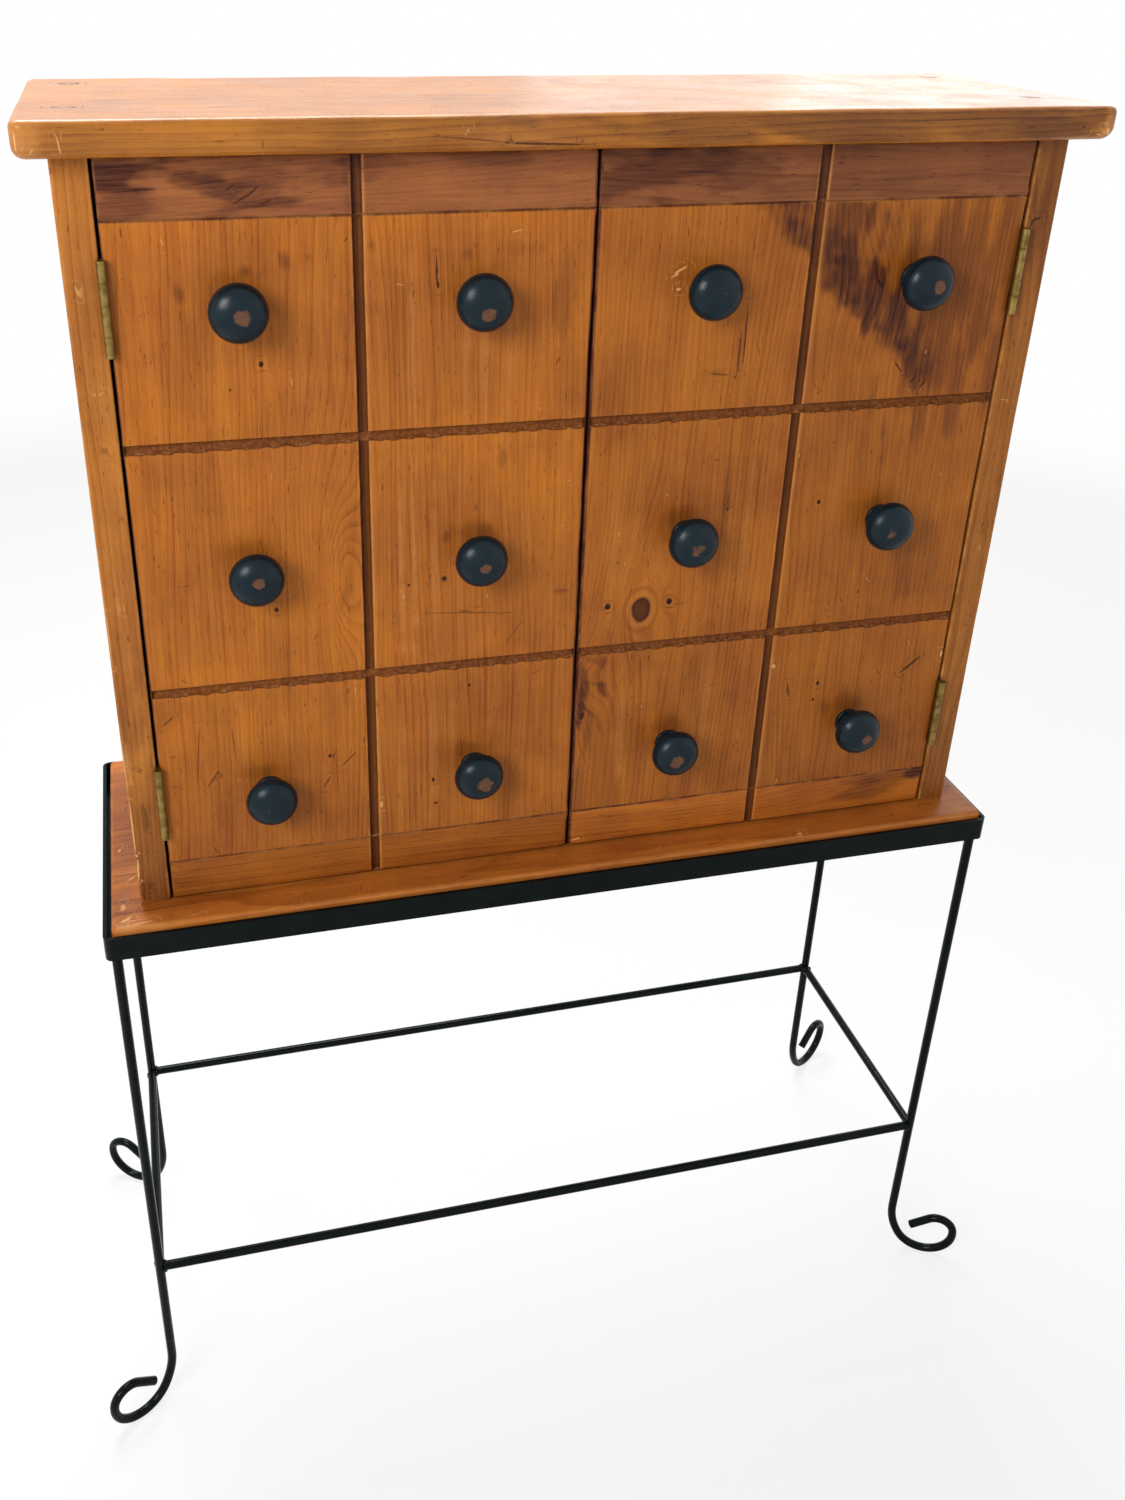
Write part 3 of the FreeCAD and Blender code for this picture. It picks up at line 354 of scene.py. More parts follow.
def makePineGroup():
    # Growth rings, fibres, resin dashes, blotches, stains and painted shade, knots, sharp marks, groove and worn edges
    # of stained pine.
    tree = bpy.data.node_groups.new("stained pine", "ShaderNodeTree")
    for label, value in (("Light", colour(190, 120, 55)), ("Dark", colour(150, 80, 30)), ("Stain", colour(60, 25, 20)),
                         ("Pale", colour(208, 142, 78)), ("Ring Spacing", 5.0), ("Ring Strength", 0.5), ("Fibre", 0.75),
                         ("Dashes", 0.5), ("Wear", 0.35), ("Gloss", 0.36)):
        kind = "Color" if isinstance(value, tuple) else "Float"
        tree.interface.new_socket(label, in_out="INPUT", socket_type="NodeSocket" + kind).default_value = value
    for label, kind in (("Color", "Color"), ("Roughness", "Float"), ("Height", "Float")):
        tree.interface.new_socket(label, in_out="OUTPUT", socket_type="NodeSocket" + kind)
    ins = tree.nodes.new("NodeGroupInput").outputs
    grain, stain, local, mark = (readField(tree, label) for label in ("grain", "stain", "local", "mark"))
    place = objectPlace(tree)

    def fibres(across, along, shift, detail, roughness=0.55):
        # Noise drawn out along the grain, with so many changes per mm across and along it.
        return noise(vector(times(grain[2], across), times(grain[1], along), shift), 1.0, detail, roughness)

    # growth rings: each ring darkens towards its late wood, and no two rings are equally dark
    rings = work("DIVIDE", plus(grain[0], times(fibres(0.05, 0.006, 0.0, 3.0), 2.2)), ins["Ring Spacing"])
    number = work("FLOOR", rings)
    share = work("FRACT", rings)
    late = times(work("POWER", share, 2.6), slide(share, 1.0, 0.93))
    own = follow("TexWhiteNoise", {"W": number}, noise_dimensions="1D")
    late = times(late, slide(own, 0.0, 1.0, (0.25, 1.0), soft=False))

    fine = fibres(0.62, 0.014, 0.0, 5.0, 0.68)
    broad = fibres(0.11, 0.006, 2.0, 4.0, 0.6)
    dash = slide(fibres(0.8, 0.09, 5.0, 1.0), 0.66, 0.76)
    pores = slide(fibres(1.9, 0.22, 7.0, 2.0), 0.58, 0.72)
    cloud = noise(place, 14.0, 4.0, 0.6)
    speck = noise(place, 420.0, 2.0)

    depth = times(late, ins["Ring Strength"])
    for value, size in ((fine, ins["Fibre"]), (broad, 0.85), (cloud, 1.3)):
        depth = plus(depth, swing(value, size))
    shade = blend(plus(depth, 0.34, clamp=True), ins["Light"], ins["Dark"])
    shade = blend(times(dash, ins["Dashes"]), shade, ins["Dark"], "MULTIPLY")
    shade = blend(times(pores, 0.3), shade, ins["Dark"])
    drift = fibres(0.03, 0.008, 9.0, 4.0, 0.6)
    # the value follows the stave's tone, which on the right door and the right side board is partly painted shade
    toned = follow("HueSaturation", {"Color": shade, "Hue": slide(drift, 0.25, 0.75, (0.499, 0.502)),
                                     "Saturation": slide(cloud, 0.25, 0.75, (1.01, 0.99)), "Value": plus(1.0, local[2])})

    # knots: a dark rim, rings inside, a pale halo outside and a darker shell of bent fibres round it
    knotRings = work("SINE", times(local[0], 22.0))
    inKnot = slide(local[0], 1.12, 0.92)
    rim = times(slide(local[0], 0.55, 0.95), slide(local[0], 1.35, 1.0))
    halo = times(slide(local[0], 1.0, 1.15), slide(local[0], 1.8, 1.25))
    shell = times(slide(local[0], 1.65, 1.9), slide(local[0], 2.25, 1.95))
    knotColour = blend(work("MULTIPLY_ADD", knotRings, 0.2, 0.5), colour(88, 44, 22), colour(46, 21, 13))
    for mask, strength, tint in ((halo, 0.16, ins["Pale"]), (shell, 0.45, ins["Dark"]), (inKnot, 0.92, knotColour),
                                 (rim, 0.55, colour(52, 20, 12))):
        toned = blend(times(mask, strength), toned, tint)

    # stains and painted shade follow the fibres at their rims
    soft = plus(stain[0], swing(fine, times(stain[0], 0.9)), clamp=True)
    soft = times(soft, work("MULTIPLY_ADD", late, 0.4, 0.95), clamp=True)
    soft = work("MAXIMUM", soft, times(slide(stain[0], 0.9, 0.96), 0.85))
    toned = blend(soft, toned, ins["Stain"])
    # pale streaks, and the painted highlight on the upright groove's right lip
    toned = blend(times(stain[1], slide(broad, 0.3, 0.7, (0.4, 1.0))), toned, ins["Pale"])

    # sharp marks: strength over 0 is a dark dent, under 0 a pale scratch; the outline is frayed by fine noise
    inMark = slide(plus(lengthOf(vector(mark[0], mark[1], 0.0)), swing(speck, 0.9)), 1.15, 0.75)
    dent = times(inMark, work("MAXIMUM", mark[2], 0.0), clamp=True)
    scratch = times(inMark, work("MAXIMUM", times(mark[2], -1.0), 0.0), clamp=True)
    toned = blend(dent, toned, colour(40, 14, 8))
    toned = blend(scratch, toned, colour(226, 170, 110))

    # groove: the upright groove's dark colour is painted shade, over 0.55 (the cross grooves) torn fibres, over 1.05 a
    # crumbled lip; then the rubbed edges
    rough = slide(local[1], 0.55, 0.95)
    crumbs = times(rough, slide(noise(place, 330.0, 4.0, 0.7), 0.4, 0.66))
    grooveWoodAndShade = blend(rough, colour(62, 28, 12), blend(crumbs, colour(84, 42, 18), colour(128, 78, 46)))
    groove = slide(local[1], 0.05, 0.45)
    toned = blend(times(groove, work("MULTIPLY_ADD", soft, -0.66, 0.78)), toned, grooveWoodAndShade)
    crumbled = times(slide(local[1], 1.05, 1.5), slide(noise(place, 620.0, 3.0, 0.7), 0.46, 0.6))
    toned = blend(times(crumbled, 0.8), toned, colour(176, 120, 74))
    groove = times(groove, plus(times(rough, 0.8), 0.2))
    rub = times(slide(stain[2], 0.35, 0.95), slide(noise(place, 60.0, 4.0, 0.65), 0.35, 0.68))
    toned = blend(times(rub, ins["Wear"]), toned, ins["Pale"])

    gloss = plus(ins["Gloss"], swing(noise(place, 35.0, 4.0), 0.25))
    gloss = plus(gloss, times(groove, 0.4))
    gloss = plus(gloss, times(scratch, 0.3), clamp=True)
    height = plus(times(late, 0.35), times(fine, 0.55))
    height = work("SUBTRACT", height, times(dash, 0.5))
    height = work("SUBTRACT", height, times(inMark, work("ABSOLUTE", mark[2])))
    height = plus(height, times(cloud, 0.8))
    height = plus(height, times(times(groove, speck), 1.6))
    connect(tree.nodes.new("NodeGroupOutput"), {"Color": toned, "Roughness": gloss, "Height": height})
    return tree


pineGroup = makePineGroup()


def pineMaterial(name, sheen, relief, light, dark, spacing, strength, more):
    # One finish of the same pine: the group's values change, the shader's constants stay on its own sockets.
    material, tree, shader = newMaterial(name)
    pine = tree.nodes.new("ShaderNodeGroup")
    pine.node_tree = pineGroup
    connect(pine, {"Light": colour(*light), "Dark": colour(*dark), "Ring Spacing": spacing,
                   "Ring Strength": strength, **more})
    connect(shader, {"Base Color": pine.outputs["Color"], "Roughness": pine.outputs["Roughness"],
                     "Normal": bump(pine.outputs["Height"], relief, 0.5), "Specular IOR Level": sheen})
    return material


# sheen, relief in metres, light and dark wood, ring spacing in mm, ring strength, and what else differs
pines = {name: pineMaterial(name + " pine", *values) for name, *values in (
    ("door", 0.14, 0.0008, (190, 113, 42), (130, 64, 17), 4.2, 0.5, {"Fibre": 0.95}),
    ("cleat", 0.14, 0.0006, (178, 104, 36), (116, 54, 14), 3.4, 0.42, {}),
    ("high cleat", 0.14, 0.0006, (160, 98, 58), (98, 50, 32), 3.4, 0.36, {}),
    ("side", 0.14, 0.0005, (190, 120, 54), (132, 70, 22), 4.0, 0.6, {"Wear": 0.75}),
    ("top", 0.22, 0.00035, (196, 125, 48), (128, 69, 22), 4.6, 0.5, {"Fibre": 0.55, "Gloss": 0.26, "Wear": 0.15}),
    ("base", 0.2, 0.0005, (198, 118, 48), (134, 68, 20), 4.2, 0.55, {}),
    ("unstained", 0.25, 0.0005, (214, 168, 110), (180, 122, 66), 5.0, 0.5,
     {"Pale": colour(226, 190, 140), "Gloss": 0.55, "Wear": 0.2}))}
print("pine ready")


# Boards. Each has a dictionary for its wood: seed of the waves; axes along, across and into the grain; wander and
# wobble of fibres and rings; staves (upper limit across, pith across, pith deep, its lean across and deep, tone, which
# on the right door and the right side board is partly painted shade); and where it has them knots, swirls, figures,
# dark spots (stains, and on some boards painted shade) and pale spots, marks, ragged (how uneven dark spots are), wear
# (how far in a rubbed edge reaches), plane (the two axes that the spots are given in) and the corners low and high.
beyond = 9999
upGrain, sideGrain, depthGrain, flatGrain = (2, 0, 1), (0, 2, 1), (2, 1, 0), (0, 1, 2)

# leafSpans, leafBack, leafDeep: where the hinge leaves lie; edge, jointEdge: radius of the outer edges and of the edges
# at the joint of panel and cleat; meetingEdge: what comes on top where the two doors meet
doorShape = {"front": -94.75, "back": -74.75, "low": 535.5, "high": 1077.0, "lowJoint": 568.5, "highJoint": 1040.0,
             "left": (-314.0, 0.7), "right": (2.3, 317.0), "upright": {"left": -156.65, "right": 159.65},
             "crossings": (713.5, 895.0), "grooveWide": 6.5, "grooveDeep": 4.0, "raggedBelow": 1030,
             "edge": 1.9, "jointEdge": 0.8, "meetingEdge": 0.9, "leafSpans": ((593.5, 653.5), (958.0, 1018.0)),
             "leafBack": -78.75, "leafDeep": 0.75}
# the lips' waves: seed, size and height, and how much of them the upright groove and the cross grooves' two lips take
lips = {"seed": 31, "size": 9, "torn": 0.28, "upright": 0.25, "lower": 1.25, "upper": 0.1}
hair = 0.06      # two grid lines this far apart make a clean step
leafLines = [z for low, high in doorShape["leafSpans"] for z in (low - hair, low, high, high + hair)]


def grooveDepth(distance):
    # Round-bottomed groove: a half circle below short straight walls; its lips are eased over a fraction of a millimetre.
    half, deep, eased = doorShape["grooveWide"] / 2, doorShape["grooveDeep"], 0.45
    bowl = deep - half + np.sqrt(np.maximum(half ** 2 - distance ** 2, 0))
    lip = (deep - half) * np.clip((half + eased - np.abs(distance)) / eased, 0, 1)
    return np.where(np.abs(distance) < half, bowl, lip)


def leafHeld(flat):
    # The points that the hinge leaves lie against.
    level = np.any([(flat[:, 2] >= low) & (flat[:, 2] <= high) for low, high in doorShape["leafSpans"]], axis=0)
    return level & (flat[:, 1] <= doorShape["leafBack"])


def doorBoard(name, side, low, high, board, replaced, material, slot, step):
    # Box skin with rounded edges. The grooves are pressed into the front, y + grooveDepth(x - upright) or
    # y + grooveDepth(z - crossing) where that is more, with waves added to the distance for uneven lips; then the hinge
    # recess is clipped into the outer edge.
    shape = doorShape
    left, right = shape[side]
    inner, outer, way = (right, left, 1) if side == "left" else (left, right, -1)
    low, high = np.array([left, shape["front"], low]), np.array([right, shape["back"], high])
    # grid lines on both sides of a groove's middle, closest together at its lips
    near = np.array([sense * each for sense in (-1, 1) for each in (0.6, 1.6, 2.5, 3.0, 3.25, 3.55, 4.0, 4.6)])
    upright = shape["upright"][side]
    extra = [z + offset for z in shape["crossings"] if low[2] < z < high[2] for offset in near]
    extra += [z for z in leafLines if low[2] < z < high[2]]
    flat, faces = boxSurface([gridLines(left, right, step, shape["edge"], upright + near),
                              gridLines(low[1], high[1], 5, shape["edge"], (shape["leafBack"] - hair, shape["leafBack"])),
                              gridLines(low[2], high[2], step, 1.3, extra)])
    x, z = flat[:, 0], flat[:, 2]
    joint = np.minimum(np.abs(z - shape["lowJoint"]), np.abs(z - shape["highJoint"]))
    offJoint = ease((joint - 2) / 6)
    radius = shape["jointEdge"] + (shape["edge"] - shape["jointEdge"]) * offJoint
    radius += shape["meetingEdge"] * (np.abs(x - inner) < 6) * offJoint
    radius *= 1 + 0.25 * waves(flat, board["seed"] + 11, 120, 3)
    points = roundEdges(flat, low, high, radius)
    fields = woodFields(points, board, low, high)
    front = flat[:, 1] <= low[1] + 0.01
    lip = waves(flat * np.array([1, 0, 1]), lips["seed"], lips["size"], 3)
    ragged = lips["torn"] * lip * (z < shape["raggedBelow"])
    depth = grooveDepth(x - upright + lips["upright"] * ragged)
    crossed, crumbling = np.zeros(len(flat)), np.zeros(len(flat))
    for crossing in shape["crossings"]:
        # the lower lip is torn; under the upper one runs a line of painted shade
        across = z - crossing
        across += np.where(across < 0, lips["lower"], lips["upper"]) * ragged
        crossed = np.maximum(crossed, grooveDepth(across))
        deepen(fields, 0, 0.9 * front * ease((across - 1.4) / 1.0) * (across < 3.5))
        crumbling = np.maximum(crumbling, front * ease(1 - np.abs(across + 3.1) / 1.1) * ease(0.5 + lip))
    depth = np.maximum(depth, crossed) * front
    points[:, 1] += depth
    points[:, 1] += (0.12 * waves(flat, board["seed"] + 5, 70, 3) + 0.12) * front * (depth < 0.2)
    held = leafHeld(flat)
    clip = np.maximum if way > 0 else np.minimum
    points[held, 0] = clip(points[held, 0], outer + way * shape["leafDeep"])

    # painted shade in the upright groove's left wall, a painted highlight on its right lip, painted shade at the ends
    # and where the doors meet
    beside = x - upright
    deepen(fields, 0, 0.8 * front * ease((-0.4 - beside) / 1.6) * (beside > -3.6))
    deepen(fields, 1, 0.6 * front * ease(1 - np.abs(beside - 4.1) / 1.1))
    atEnds = (x <= left + 0.75) | (x >= right - 0.75) | (z <= shape["low"] + 0.6)
    deepen(fields, 0, np.maximum(0.75 * atEnds, 0.95 * ease((1.9 - np.abs(x - inner)) / 0.9)))
    fields["local"][:, 1] = ease(depth) * np.where(crossed > 0.3, 1.0, 0.5) + 0.8 * crumbling
    deepen(fields, 2, np.clip(1.2 - np.abs(np.abs(beside) - 4.2) / 1.4, 0, 1) * 0.9 * front * (depth < 0.3))
    deepen(fields, 0, 0.97 * ease((1.25 - joint) / 0.8) * front)     # joint line between panel and cleat
    fields["mark"] = nearestMark(points, 0, 2, board.get("marks", ()), front & (depth < 0.3))
    makeMesh(name, points, [faces], side + "_door", replaced, slot, pines[material], fields)


def smallDents(seed, count, x0, x1, z0, z1):
    # Scattered short dents, mostly along the grain, some slanting, a few pale.
    rng = np.random.default_rng(seed)
    lean = np.where(rng.random(count) < 0.7, 90 + rng.normal(0, 9, count), rng.uniform(0, 180, count))
    strength = np.where(rng.random(count) < 0.85, rng.uniform(0.2, 0.6, count), rng.uniform(-0.5, -0.25, count))
    return tuple(zip(rng.uniform(x0, x1, count), rng.uniform(z0, z1, count), rng.uniform(0.9, 3.6, count),
                     rng.uniform(0.35, 0.6, count), lean, strength))


leftPanel = dict(
    seed=3, axes=upGrain, wander=2.4, wobble=0.8,
    staves=((-156.65, -470, -60, 0.05, 0.02, -0.01), (beyond, 190, -90, -0.03, 0.03, 0.0)),
    swirls=((-174, 790, 16, 48, 26), (-188, 850, 30, 60, 8)),
    # the dark spots about 15 mm above and a little left of each knob, at (-235, 1000), (-242, 818), (-80, 820), (-241,
    # 640) and (-85, 640), are a painted reflection and shade of the knobs
    dark=((-270, 995, 4.5, 8, 0, 0.5), (-228, 1008, 5, 4, 0, 0.45), (-204, 1013, 3, 5, 0, 0.4),
        (-188, 1015, 2.5, 3, 0, 0.35), (-148, 1021, 4, 5, 0, 0.4), (-21, 980, 9, 26, 8, 0.3), (-85, 1013, 3, 3, 0, 0.35),
        (-101, 784, 2.6, 2.2, 0, 0.6), (-100, 817, 2, 4, 0, 0.5), (-70, 818, 5, 9, 40, 0.35), (-60, 873, 2, 6, 0, 0.4),
        (-13, 766, 7, 2, 0, 0.5), (-173, 778, 4, 14, -10, 0.35), (-235, 1000, 20, 7, 20, 0.2), (-40, 1015, 12, 6, 0, 0.18),
        (-242, 818, 16, 8, 0, 0.2), (-80, 820, 14, 8, 0, 0.2), (-241, 640, 14, 6, 0, 0.25), (-85, 640, 13, 7, 0, 0.25),
        (-300, 580, 220, 120, 0, 0.1), (-240, 700, 60, 16, 0, 0.06), (-300, 700, 14, 12, 0, 0.12)),
    pale=((-122, 960, 2.5, 60, 0, 0.35), (-86, 950, 2, 60, 0, 0.3), (-73, 950, 2, 70, 0, 0.3), (-57, 940, 2, 60, 0, 0.25),
        (-132, 800, 2, 80, 0, 0.35), (-123, 800, 2, 75, 0, 0.35), (-108, 790, 2, 80, 0, 0.3), (-90, 800, 2, 70, 0, 0.25),
        (-110, 640, 3, 50, 0, 0.3), (-95, 640, 2, 50, 0, 0.25), (-135, 640, 2, 50, 0, 0.25)),
    marks=((-222, 948, 1.6, 2.0, 0, 0.95), (-243, 932, 0.8, 1.0, 0, 0.8), (-106, 1003, 10, 0.6, 90, 0.9),
        (-105, 994, 2, 1, 90, 0.9), (-222, 772, 1.5, 1.8, 0, 0.95), (-127, 782, 1.2, 1.0, 0, 0.9),
        (-101, 785, 1.5, 1.4, 0, 0.95), (-83, 755.5, 37, 0.5, -5.4, 0.5), (-49, 735, 12, 0.45, 55, 0.5),
        (-304, 691, 6, 0.7, 42, 0.6), (-285, 660, 26, 0.6, 84, 0.45), (-259, 668, 14, 0.6, 92, 0.5),
        (-276, 638, 8, 0.8, 58, 0.6), (-175, 642, 9, 0.7, 45, 0.6), (-192, 624, 6, 0.8, 60, 0.65),
        (-189, 647, 1.3, 1.6, 0, 0.95), (-82, 695, 1.2, 1.4, 0, 0.9), (-110, 615, 1.1, 1.9, 0, 0.95),
        (-108, 593, 1.6, 1.2, 0, 0.9), (-151, 598, 1.2, 3, 0, -0.7), (-195, 748, 3, 0.6, 60, 0.5),
        (-290, 722, 3, 0.6, -40, 0.5), (-30, 700, 4, 0.5, 20, 0.4), (-22, 940, 3, 0.6, 70, 0.5)))

rightPanel = dict(
    seed=9, axes=upGrain, wander=2.6, wobble=0.9, ragged=0.45,
    # the staves' tones -0.07 and -0.13 are partly painted shade, darker away from the light on the left
    staves=((159.65, -190, -90, 0.03, 0.03, -0.07), (beyond, 420, -70, -0.05, 0.04, -0.13)),
    knots=((50.6, 744.5, 7, 9.5), (24.3, 750, 2.4, 2.8), (73, 749.6, 2.4, 2.8)),
    swirls=((52, 770, 15, 62, 15), (6, 690, 26, 34, 22), (212, 985, 30, 40, 16)),
    figures=((112, 1050, 268, 898, 26, 0.76), (160, 1014, 246, 918, 13, 0.8)),
    # the dark spots about 15 mm above and a little left of the knobs, at (75, 640), (232, 640), (78, 818) and (228,
    # 815), are a painted reflection and shade of the knobs
    dark=((180, 1002, 26, 14, -40, 0.62), (206, 976, 30, 15, -46, 0.66), (233, 948, 28, 15, -52, 0.66),
        (252, 921, 16, 10, -60, 0.5), (140, 1026, 22, 9, -44, 0.35), (276, 986, 52, 84, 0, 0.4), (290, 935, 30, 16, 0, 0.2),
        (186, 1030, 30, 22, 0, 0.66), (179, 1000, 5, 3.4, 0, 0.9), (196, 986, 4, 3, 0, 0.8), (6, 662, 3, 17, 0, 0.75),
        (8, 690, 3.2, 15, 10, 0.55), (12, 636, 3, 22, -8, 0.3), (14, 706, 9, 4, -20, 0.4), (9, 600, 5, 24, 0, 0.2),
        (112, 842, 2, 26, 0, 0.3), (95, 925, 9, 2, 0, 0.3), (281, 765, 15, 30, 0, 0.18), (200, 570, 260, 110, 0, 0.06),
        (40, 650, 60, 60, 0, 0.06), (75, 640, 16, 8, 0, 0.22), (232, 640, 16, 9, 0, 0.28), (78, 818, 16, 7, 0, 0.2),
        (228, 815, 14, 8, 0, 0.2), (17, 685, 8, 1.8, -15, 0.45), (25, 675, 8, 2.0, -55, 0.55), (14, 660, 9, 1.8, -50, 0.45),
        (22, 646, 8, 1.6, -68, 0.35)),
    pale=((26, 800, 3, 70, 0, 0.2), (130, 800, 3, 60, 0, 0.2), (40, 640, 3, 50, 0, 0.25), (110, 650, 4, 60, 0, 0.2),
        (200, 830, 3, 60, 0, 0.15)),
    marks=((9, 626, 15, 0.6, -72, 0.3), (8, 657, 3.5, 2, 80, 0.8), (24.3, 749, 1.9, 1.9, 0, 1.0),
        (73, 749, 1.9, 1.9, 0, 1.0), (62, 998, 5.5, 0.8, 28, -0.85), (61.5, 985, 1.8, 1.0, 10, -0.9),
        (58, 994, 3, 0.7, 20, -0.6), (114, 950, 23, 0.6, 90, 0.85), (110, 936, 17, 0.5, 90, 0.7),
        (97, 924, 8, 0.6, -8, 0.5), (187, 821, 1.6, 1.8, 0, 0.95), (207, 663, 1.6, 2.0, 0, 0.95),
        (205, 648, 1.2, 1.5, 0, 0.9), (181.5, 660, 7, 0.8, -78, 0.8), (288, 671, 11, 1.2, 40, 0.8),
        (166, 683, 1.6, 2, 0, -0.7), (315, 678, 1.4, 2.6, 0, -0.8), (197, 718, 3, 0.6, 70, 0.6),
        (113, 823, 8, 0.6, 90, 0.7), (60, 702, 3, 0.6, 80, 0.6), (250, 912, 4, 0.8, 50, 0.8), (258, 908, 4, 0.8, 60, 0.8),
        (236, 922, 5, 0.8, -50, 0.7), (212, 983, 4, 0.9, -50, 0.8)))

cleats = {
    "top_cleat_left": dict(
        seed=21, axes=sideGrain, wander=4, wobble=3, ragged=0.6,
        staves=((beyond, 1130, -60, 0.05, 0.05, -0.05),),
        dark=((-294, 1069, 34, 9, 8, 0.85), (-300, 1048, 26, 12, 0, 0.5), (-224, 1052, 26, 7, -12, 0.45),
            (-256, 1062, 34, 7, -22, 0.5), (-200, 1066, 44, 7, -6, 0.35), (-240, 1045, 40, 4, 6, 0.4),
            (-160, 1057, 4, 20, 0, 0.3), (-90, 1074, 60, 5, 0, 0.3)),
        marks=((-228, 1051, 6, 0.7, 30, 0.7), (-220, 1056, 5, 0.7, 40, 0.7), (-213, 1049, 4, 0.7, 20, 0.6),
            (-234, 1058, 4, 0.7, 30, 0.6))),
    "top_cleat_right": dict(
        seed=22, axes=sideGrain, wander=4, wobble=2, ragged=0.5,
        staves=((beyond, 990, -70, -0.03, 0.05, -0.16),),
        dark=((50, 1062, 60, 12, 6, 0.6), (95, 1058, 40, 14, 0, 0.4), (20, 1071, 22, 7, 0, 0.5),
            (240, 1064, 110, 18, 0, 0.2))),
    "bottom_cleat_left": dict(
        seed=23, axes=sideGrain, wander=3, wobble=1.6,
        staves=((beyond, 500, -60, 0.02, 0.03, -0.06),),
        dark=((-300, 552, 20, 8, 0, 0.1),)),
    "bottom_cleat_right": dict(
        seed=24, axes=sideGrain, wander=3, wobble=1.8,
        staves=((beyond, 620, -60, 0.03, 0.03, 0.28),),
        dark=((310, 563, 8, 6, 0, 0.85), (284, 556, 34, 10, 8, 0.45), (262, 562, 20, 5, 0, 0.35)),
        marks=((10.6, 571, 2.4, 1.2, 0, -0.9), (8, 541, 4, 1, 10, -0.7)))}

leftPanel["marks"] = smallDents(5, 110, -312, -2, 572, 1036) + leftPanel["marks"]
rightPanel["marks"] = smallDents(6, 110, 5, 314, 572, 1036) + rightPanel["marks"]
for side, panel in (("left", leftPanel), ("right", rightPanel)):
    doorBoard("door_panel_front_" + side, side, doorShape["lowJoint"], doorShape["highJoint"], panel,
              ("door_panel_" + side,), "door", "door_pine", 2.35)
    for place, finish, (low, high) in (("low", "cleat", (doorShape["low"], doorShape["lowJoint"])),
                                       ("high", "high cleat", (doorShape["highJoint"], doorShape["high"]))):
        node = ("bottom" if place == "low" else "top") + "_cleat_" + side
        doorBoard("cleat_%s_%s" % (place, side), side, low, high, cleats[node], (node,), finish, "cleat_pine", 1.9)
print("doors made")


def plainBoard(name, step, board, replaced, material, slot, radius, extras=((), (), ()), change=None):
    # Box skin with rounded, slightly uneven edges; change may move the points further, given the flat and the moved points.
    low, high = np.array(board["low"], float), np.array(board["high"], float)
    flat, faces = boxSurface([gridLines(low[n], high[n], step, radius, extras[n]) for n in range(3)])
    points = roundEdges(flat, low, high, radius * (1 + 0.22 * waves(flat, board["seed"] + 11, 140, 3)))
    fields = woodFields(points, board, low, high)
    fields["mark"] = np.zeros((len(points), 3))
    if change:
        points = change(flat, points, fields)
    makeMesh(name, points, [faces], "cabinet", replaced, slot, pines[material], fields)


backLet = {"wide": 10.0, "face": 108.25}     # rebate behind the sides that the back lies in
# The pale lines along the left board's front-left arris, at x about -337.5, are partly wear and partly a painted
# highlight.
sideMarks = ((326.5, 1023.5, 4.5, 0.9, 20, 0.85), (324, 1020, 3, 0.7, 60, 0.7), (-337.7, 604, 22, 0.6, 90, -0.8),
             (-337.4, 566, 10, 0.8, 87, -0.9), (-337.8, 660, 14, 0.5, 90, -0.6), (-337.6, 760, 20, 0.4, 90, -0.5),
             (-330, 552, 6, 0.6, 80, 0.5), (-326, 610, 9, 0.5, 92, 0.5)) \
    + smallDents(15, 14, -336, -318, 540, 1070) + smallDents(16, 14, 321, 339, 540, 1070)


def sideShape(inner, way):
    # Hinge recesses in the inner face at the front and the rebate at the rear, pressed in by clipping the points.
    def change(flat, points, fields):
        held = leafHeld(flat)
        clip = np.minimum if way > 0 else np.maximum
        points[held, 0] = clip(points[held, 0], inner - way * doorShape["leafDeep"])
        rebate = way * (flat[:, 0] - inner) > 0.01 - backLet["wide"]
        points[rebate, 1] = np.minimum(points[rebate, 1], backLet["face"])
        fields["mark"] = nearestMark(points, 0, 2, sideMarks, flat[:, 1] < doorShape["front"] + 0.05)
        return points
    return change


# The front dark spots, low on the left board and at the top and the bottom of the right board, are painted shade.
sideBoards = {
    "left": dict(low=(-338.5, -94.75, 534), high=(-316.0, 113.25, 1079), seed=41, axes=depthGrain, wander=3, wobble=1.5,
                 staves=((beyond, -40, -420, 0.02, 0.03, -0.04),), plane=(1, 2), dark=((-90, 545, 60, 130, 0, 0.4),),
                 knots=((40, 700, 8, 12), (-30, 930, 6, 9))),
    "right": dict(low=(319.0, -94.75, 534), high=(341.5, 113.25, 1079), seed=42, axes=depthGrain, wander=3, wobble=1.5,
                  # the right board's tone -0.17 is partly painted shade, darker away from the light on the left
                  staves=((beyond, 20, 260, 0.02, 0.03, -0.17),), plane=(1, 2),
                  dark=((-90, 1090, 60, 130, 0, 0.42), (-90, 560, 60, 60, 0, 0.2)),
                  knots=((10, 860, 9, 13), (70, 620, 6, 8)))}
for side, board in sideBoards.items():
    inner, way = (board["high"][0], 1) if side == "left" else (board["low"][0], -1)
    extras = ([inner - way * backLet["wide"], inner - way * (backLet["wide"] - hair)],
              (doorShape["leafBack"], doorShape["leafBack"] + hair, backLet["face"], backLet["face"] + hair), leafLines)
    plainBoard("side_panel_" + side, 3.2, board, ("side_board_" + side,), "side", "side_pine", 1.3, extras,
               sideShape(inner, way))


